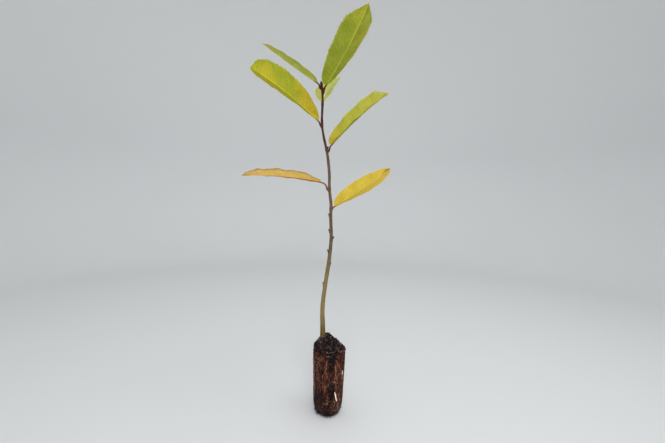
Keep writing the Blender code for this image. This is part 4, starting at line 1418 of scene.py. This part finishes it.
def blade_finish(name, tints, places, leaves, underside):
    """One face of a blade.  Colour runs from foot to tip with irregular patches, one half and one
    soft flush of its own, a margin and veins of other colours: the midrib, and side veins where
    the UVs' first coordinate passes a whole share.  A fine net of smaller veins is only relief.
    The underside is duller, and some light passes through."""
    finish = Finish(name, Roughness=0.5, Specular_IOR_Level=0.3)
    along, across = finish.uv()
    off = abs(across * 2.0 - 1.0)
    step = (along * float(leaves.teeth) + 0.5 * (across > 0.5)).math("FRACT")
    near = 0.5 - abs(step - 0.5)
    vein = finish.fade(near, 0.0, 0.13 - 0.05 * off) * finish.fade(off, 0.80, 1.0)
    midrib = finish.fade(off, 0.015, 0.055)
    between = finish.ease(near, 0.10, 0.45)

    drift = finish.noise(0.016, 3.0)
    shade = finish.mix(finish.ease(along + 0.30 * (drift - 0.5), places.base_reach - 0.32,
                                   places.base_reach), tints.base, tints.body)
    shade = finish.mix(finish.ease(along + 0.25 * (drift - 0.5), 0.60, 0.98), shade, tints.tip)
    one_side = finish.ease if places.half_share > 0 else finish.fade
    shade = finish.mix(abs(places.half_share) * one_side(across, 0.44, 0.56), shade, tints.half)
    patches = finish.ease(finish.noise(0.007, 5.0), 0.46, 0.62)
    shade = finish.mix(patches * 0.55, shade, tints.patch)
    mottle = finish.ease(finish.noise(0.0028, 3.0), 0.44, 0.58)
    shade = finish.mix(mottle * 0.45, shade, tuple(MOTTLE_DEPTH * value for value in tints.body))
    worn = finish.noise(0.004, 4.0)
    lengthwise = along - places.flush_along
    sideways = (across - places.flush_across) * 0.3
    distance = (lengthwise ** 2.0 + sideways ** 2.0) ** 0.5
    flush = finish.fade(distance + 0.10 * (worn - 0.5),
                        0.3 * places.flush_reach, places.flush_reach)
    shade = finish.mix(flush * 0.9, shade, tints.flush)
    edge = finish.ease(off + 0.22 * (worn - 0.5), 1.0 - float(tints.margin_reach), 1.0)
    shade = finish.mix(edge * 0.8, shade, tints.margin)
    shade = finish.mix(between * 0.30, shade, finish.mix(0.5, shade, BETWEEN_VEINS))
    shade = finish.mix(vein * (0.75 if underside else 0.50), shade, tints.vein)
    shade = finish.mix(midrib * 0.5, shade, tints.vein)
    spots = finish.fade(finish.cells(0.009, "F1"), 0.045, 0.075)
    shade = finish.mix(spots * 0.5, shade, SPOT)
    if underside:
        shade = finish.mix(0.06, shade, UNDERSIDE_DOWN)

    net = finish.ease(finish.cells(0.0011), 0.0, 0.16)
    relief = finish.bump(net, 0.00010, 0.7 if underside else 0.45)
    relief = finish.bump(finish.noise(0.003), 0.0004, 0.35, relief)
    finish.feed({"Base Color": shade, "Normal": relief,
                 "Roughness": (0.62 if underside else 0.46) + 0.12 * (patches - 0.5)})
    glow = finish.node("ShaderNodeBsdfTranslucent", values={"Color": tuple(tints.body)})
    lit = finish.node("ShaderNodeMixShader", values={
        0: leaves.glow, 1: Value(finish, finish.shader.outputs[0]), 2: glow})
    finish.tree.links.new(lit.socket, finish.tree.nodes["Material Output"].inputs["Surface"])
    return finish.material


def stalk_finish(name, tints):
    """Stalk and midrib: dark bark colour at the stem, then the colour of the veins."""
    finish = Finish(name, Roughness=0.5, Specular_IOR_Level=0.2)
    along, _ = finish.uv()
    drift = finish.noise(0.004, 3.0)
    rib = finish.mix(finish.ease(along, 0.55, 1.0), tints.vein, tints.tip)
    shade = finish.mix(finish.ease(along + 0.08 * (drift - 0.5), 0.19, 0.29), tints.stalk, rib)
    return finish.feed({"Base Color": shade,
                        "Normal": finish.bump(finish.noise(0.0007), 0.00008, 0.6)})


class SAPLING_OT_leaves(bpy.types.Operator):
    """Makes the blades, stalks and midribs of the seven leaves"""
    bl_idname = "sapling.leaves"
    bl_label = "Leaves"

    def execute(self, context):
        sapling = context.scene.sapling
        leaves = sapling.leaves
        halves = len(COLUMN_SHARES) * 2
        faces = np.concatenate((np.zeros(halves), np.ones(halves + 2)))     # upper, then lower
        for number, leaf in enumerate(LEAVES):
            tints = getattr(sapling, leaf.name)
            places = AUTUMN[leaf.name]
            rings, uv, poles = blade_rings(leaf, leaves, RUFFLE_PHASE * number)
            Shape().add(rings, uv, faces, poles=poles).make(
                f"{leaf.name}_blade", places.slot, [
                    blade_finish(f"{leaf.name}_upper", tints, places, leaves, False),
                    blade_finish(f"{leaf.name}_lower", tints, places, leaves, True),
                ], leaf.name, sharp=60.0)
            rings, uv = stalk_rings(leaf, leaves)
            Shape().add(rings, uv).make(
                f"{leaf.name}_stalk", places.slot, [stalk_finish(f"{leaf.name}_rib", tints)])
        return {"FINISHED"}


# ---------------------------------------------------------------- stage
CAMERA_PLACE = (0.0022, -0.490, 0.317)
CAMERA_DROP = 2.8             # degrees that the camera looks down
CAMERA_TILT = 0.955           # degrees that it is turned about its own line of sight
FRAME_WIDTH = 665             # pixels
MIDDLE_LEFT_BY = 0.5          # pixels that the optical centre lies left of the frame's
MIDDLE_BELOW_BY = 0.5         # and below it
SENSOR_WIDTH = 36.0           # millimetres
FLOOR_COLUMNS = 128
WALL_FOOT = 1.3               # reach of the flat floor
WALL_BEND = 0.7               # radius of the bend from floor to wall
WALL_TOP = 2.6
FLOOR_THICKNESS = 0.02
PAPER_FIBRE = tint(196, 196, 198)
# Lamps, named after the settings with their power: spread in degrees, place and aim
LAMPS = (
    ("key", 180, (0.50, -0.30, 1.40), (0.0, 0.0, 0.25)),
    ("fill", 90, (0.12, -1.50, 0.66), (0.0, 0.0, 0.40)),
)
LAMP_SIZE = 0.9


def camera_turn():
    """The camera's axes: sight drops from +Y, and right and up turn about it."""
    drop, tilt = math.radians(CAMERA_DROP), math.radians(CAMERA_TILT)
    sight = Vector((0.0, math.cos(drop), -math.sin(drop)))
    right = Vector((1.0, 0.0, 0.0))
    up = right.cross(sight)
    turned_right = right * math.cos(tilt) + up * math.sin(tilt)
    turned_up = up * math.cos(tilt) - right * math.sin(tilt)
    return Matrix((turned_right, turned_up, -sight)).transposed()


def stage_rings():
    """A round floor that curves up into a wall by a quarter circle: a thin shell, open to the
    sky."""
    turn = full_turn(FLOOR_COLUMNS)
    bend = np.radians(np.linspace(0, 90, 17))
    flat = np.array([0.02, 0.4, 0.9, 1.25])
    reach = np.concatenate((flat, WALL_FOOT + WALL_BEND * np.sin(bend), [WALL_FOOT + WALL_BEND]))
    level = np.concatenate((np.zeros(len(flat)), WALL_BEND * (1 - np.cos(bend)), [WALL_TOP]))
    inner = np.stack((reach[:, None] * np.cos(turn), reach[:, None] * np.sin(turn),
                      level[:, None] * np.ones(FLOOR_COLUMNS)), axis=-1)
    outer = inner[::-1] * np.array((1.02, 1.02, 1.0)) - FLOOR_THICKNESS * UP
    return np.concatenate((inner, outer))


class SAPLING_OT_stage(bpy.types.Operator):
    """Makes the pale floor, the soft light and the camera"""
    bl_idname = "sapling.stage"
    bl_label = "Stage"

    def execute(self, context):
        settings = context.scene.sapling.stage
        scene = context.scene
        rings = stage_rings()
        quads = ring_quads(*rings.shape[:2]).reshape(-1, 4).tolist()
        first = np.arange(FLOOR_COLUMNS)
        last = first + (len(rings) - 1) * FLOOR_COLUMNS
        mesh = bpy.data.meshes.new("studio_floor")
        mesh.from_pydata(rings.reshape(-1, 3).tolist(), [],
                         [*quads, first[::-1].tolist(), last.tolist()])
        mesh.shade_smooth()
        finish = Finish("studio_paper", Roughness=0.9)
        fibre = finish.noise(0.004, 4.0)
        finish.feed({"Base Color": finish.mix(0.04 * fibre, settings.floor, PAPER_FIBRE),
                     "Specular IOR Level": 0.2})
        mesh.materials.append(finish.material)
        floor = bpy.data.objects.new("studio_floor", mesh)
        scene.collection.objects.link(floor)

        world = bpy.data.worlds.new("studio_sky")
        world.use_nodes = True
        sky = world.node_tree.nodes["Background"]
        sky.inputs["Color"].default_value = (1.0, 1.0, 1.0, 1.0)
        sky.inputs["Strength"].default_value = settings.sky
        scene.world = world

        for name, spread, place, aim in LAMPS:
            lamp = bpy.data.lights.new(f"soft_{name}", "AREA")
            lamp.energy = getattr(settings, name)
            lamp.shape = "DISK"
            lamp.size = LAMP_SIZE
            lamp.spread = math.radians(spread)
            lit = bpy.data.objects.new(lamp.name, lamp)
            lit.location = place
            lit.rotation_euler = (Vector(aim) - lit.location).to_track_quat("-Z", "Y").to_euler()
            scene.collection.objects.link(lit)

        data = bpy.data.cameras.new("view")
        data.sensor_width = SENSOR_WIDTH
        data.lens = settings.lens * 1000
        data.shift_x = MIDDLE_LEFT_BY / FRAME_WIDTH
        data.shift_y = MIDDLE_BELOW_BY / FRAME_WIDTH
        data.clip_start = 0.01
        camera = bpy.data.objects.new("view", data)
        camera.matrix_world = Matrix.Translation(CAMERA_PLACE) @ camera_turn().to_4x4()
        scene.collection.objects.link(camera)
        scene.camera = camera
        scene.view_settings.view_transform = "Standard"
        return {"FINISHED"}


# ---------------------------------------------------------------- sidebar
PARTS = (
    ("root_ball", SAPLING_OT_root_ball), ("soil", SAPLING_OT_soil), ("stem", SAPLING_OT_stem),
    ("leaves", SAPLING_OT_leaves), ("stage", SAPLING_OT_stage),
)


class SAPLING_PT_panel(bpy.types.Panel):
    """Lists the sapling's parts with their settings"""
    bl_idname = "SAPLING_PT_panel"
    bl_label = "Sapling"
    bl_space_type = "VIEW_3D"
    bl_region_type = "UI"
    bl_category = "Sapling"

    def draw(self, context):
        operators = dict(PARTS)
        for name in (*operators, *AUTUMN):
            box = self.layout.box()
            if name in operators:
                box.operator(operators[name].bl_idname)
            else:
                box.label(text=name)
            settings = getattr(context.scene.sapling, name)
            for field in settings.__annotations__:
                box.prop(settings, field)


CLASSES = (
    SaplingRootBall, SaplingSoil, SaplingStem, SaplingLeaves, SaplingStage,
    *LEAF_SETTINGS.values(), SaplingSettings, *(operator for _, operator in PARTS),
    SAPLING_PT_panel,
)


def register():
    """Adds the classes and the scene's settings."""
    for item in CLASSES:
        bpy.utils.register_class(item)
    bpy.types.Scene.sapling = bpy.props.PointerProperty(type=SaplingSettings)


def unregister():
    """Takes them away again."""
    del bpy.types.Scene.sapling
    for item in reversed(CLASSES):
        bpy.utils.unregister_class(item)


def main():
    """Makes every part in turn, and writes the sizes of the solids and of the dressed part."""
    register()
    for name, _ in PARTS:
        getattr(bpy.ops.sapling, name)()


if __name__ == "__main__":
    main()
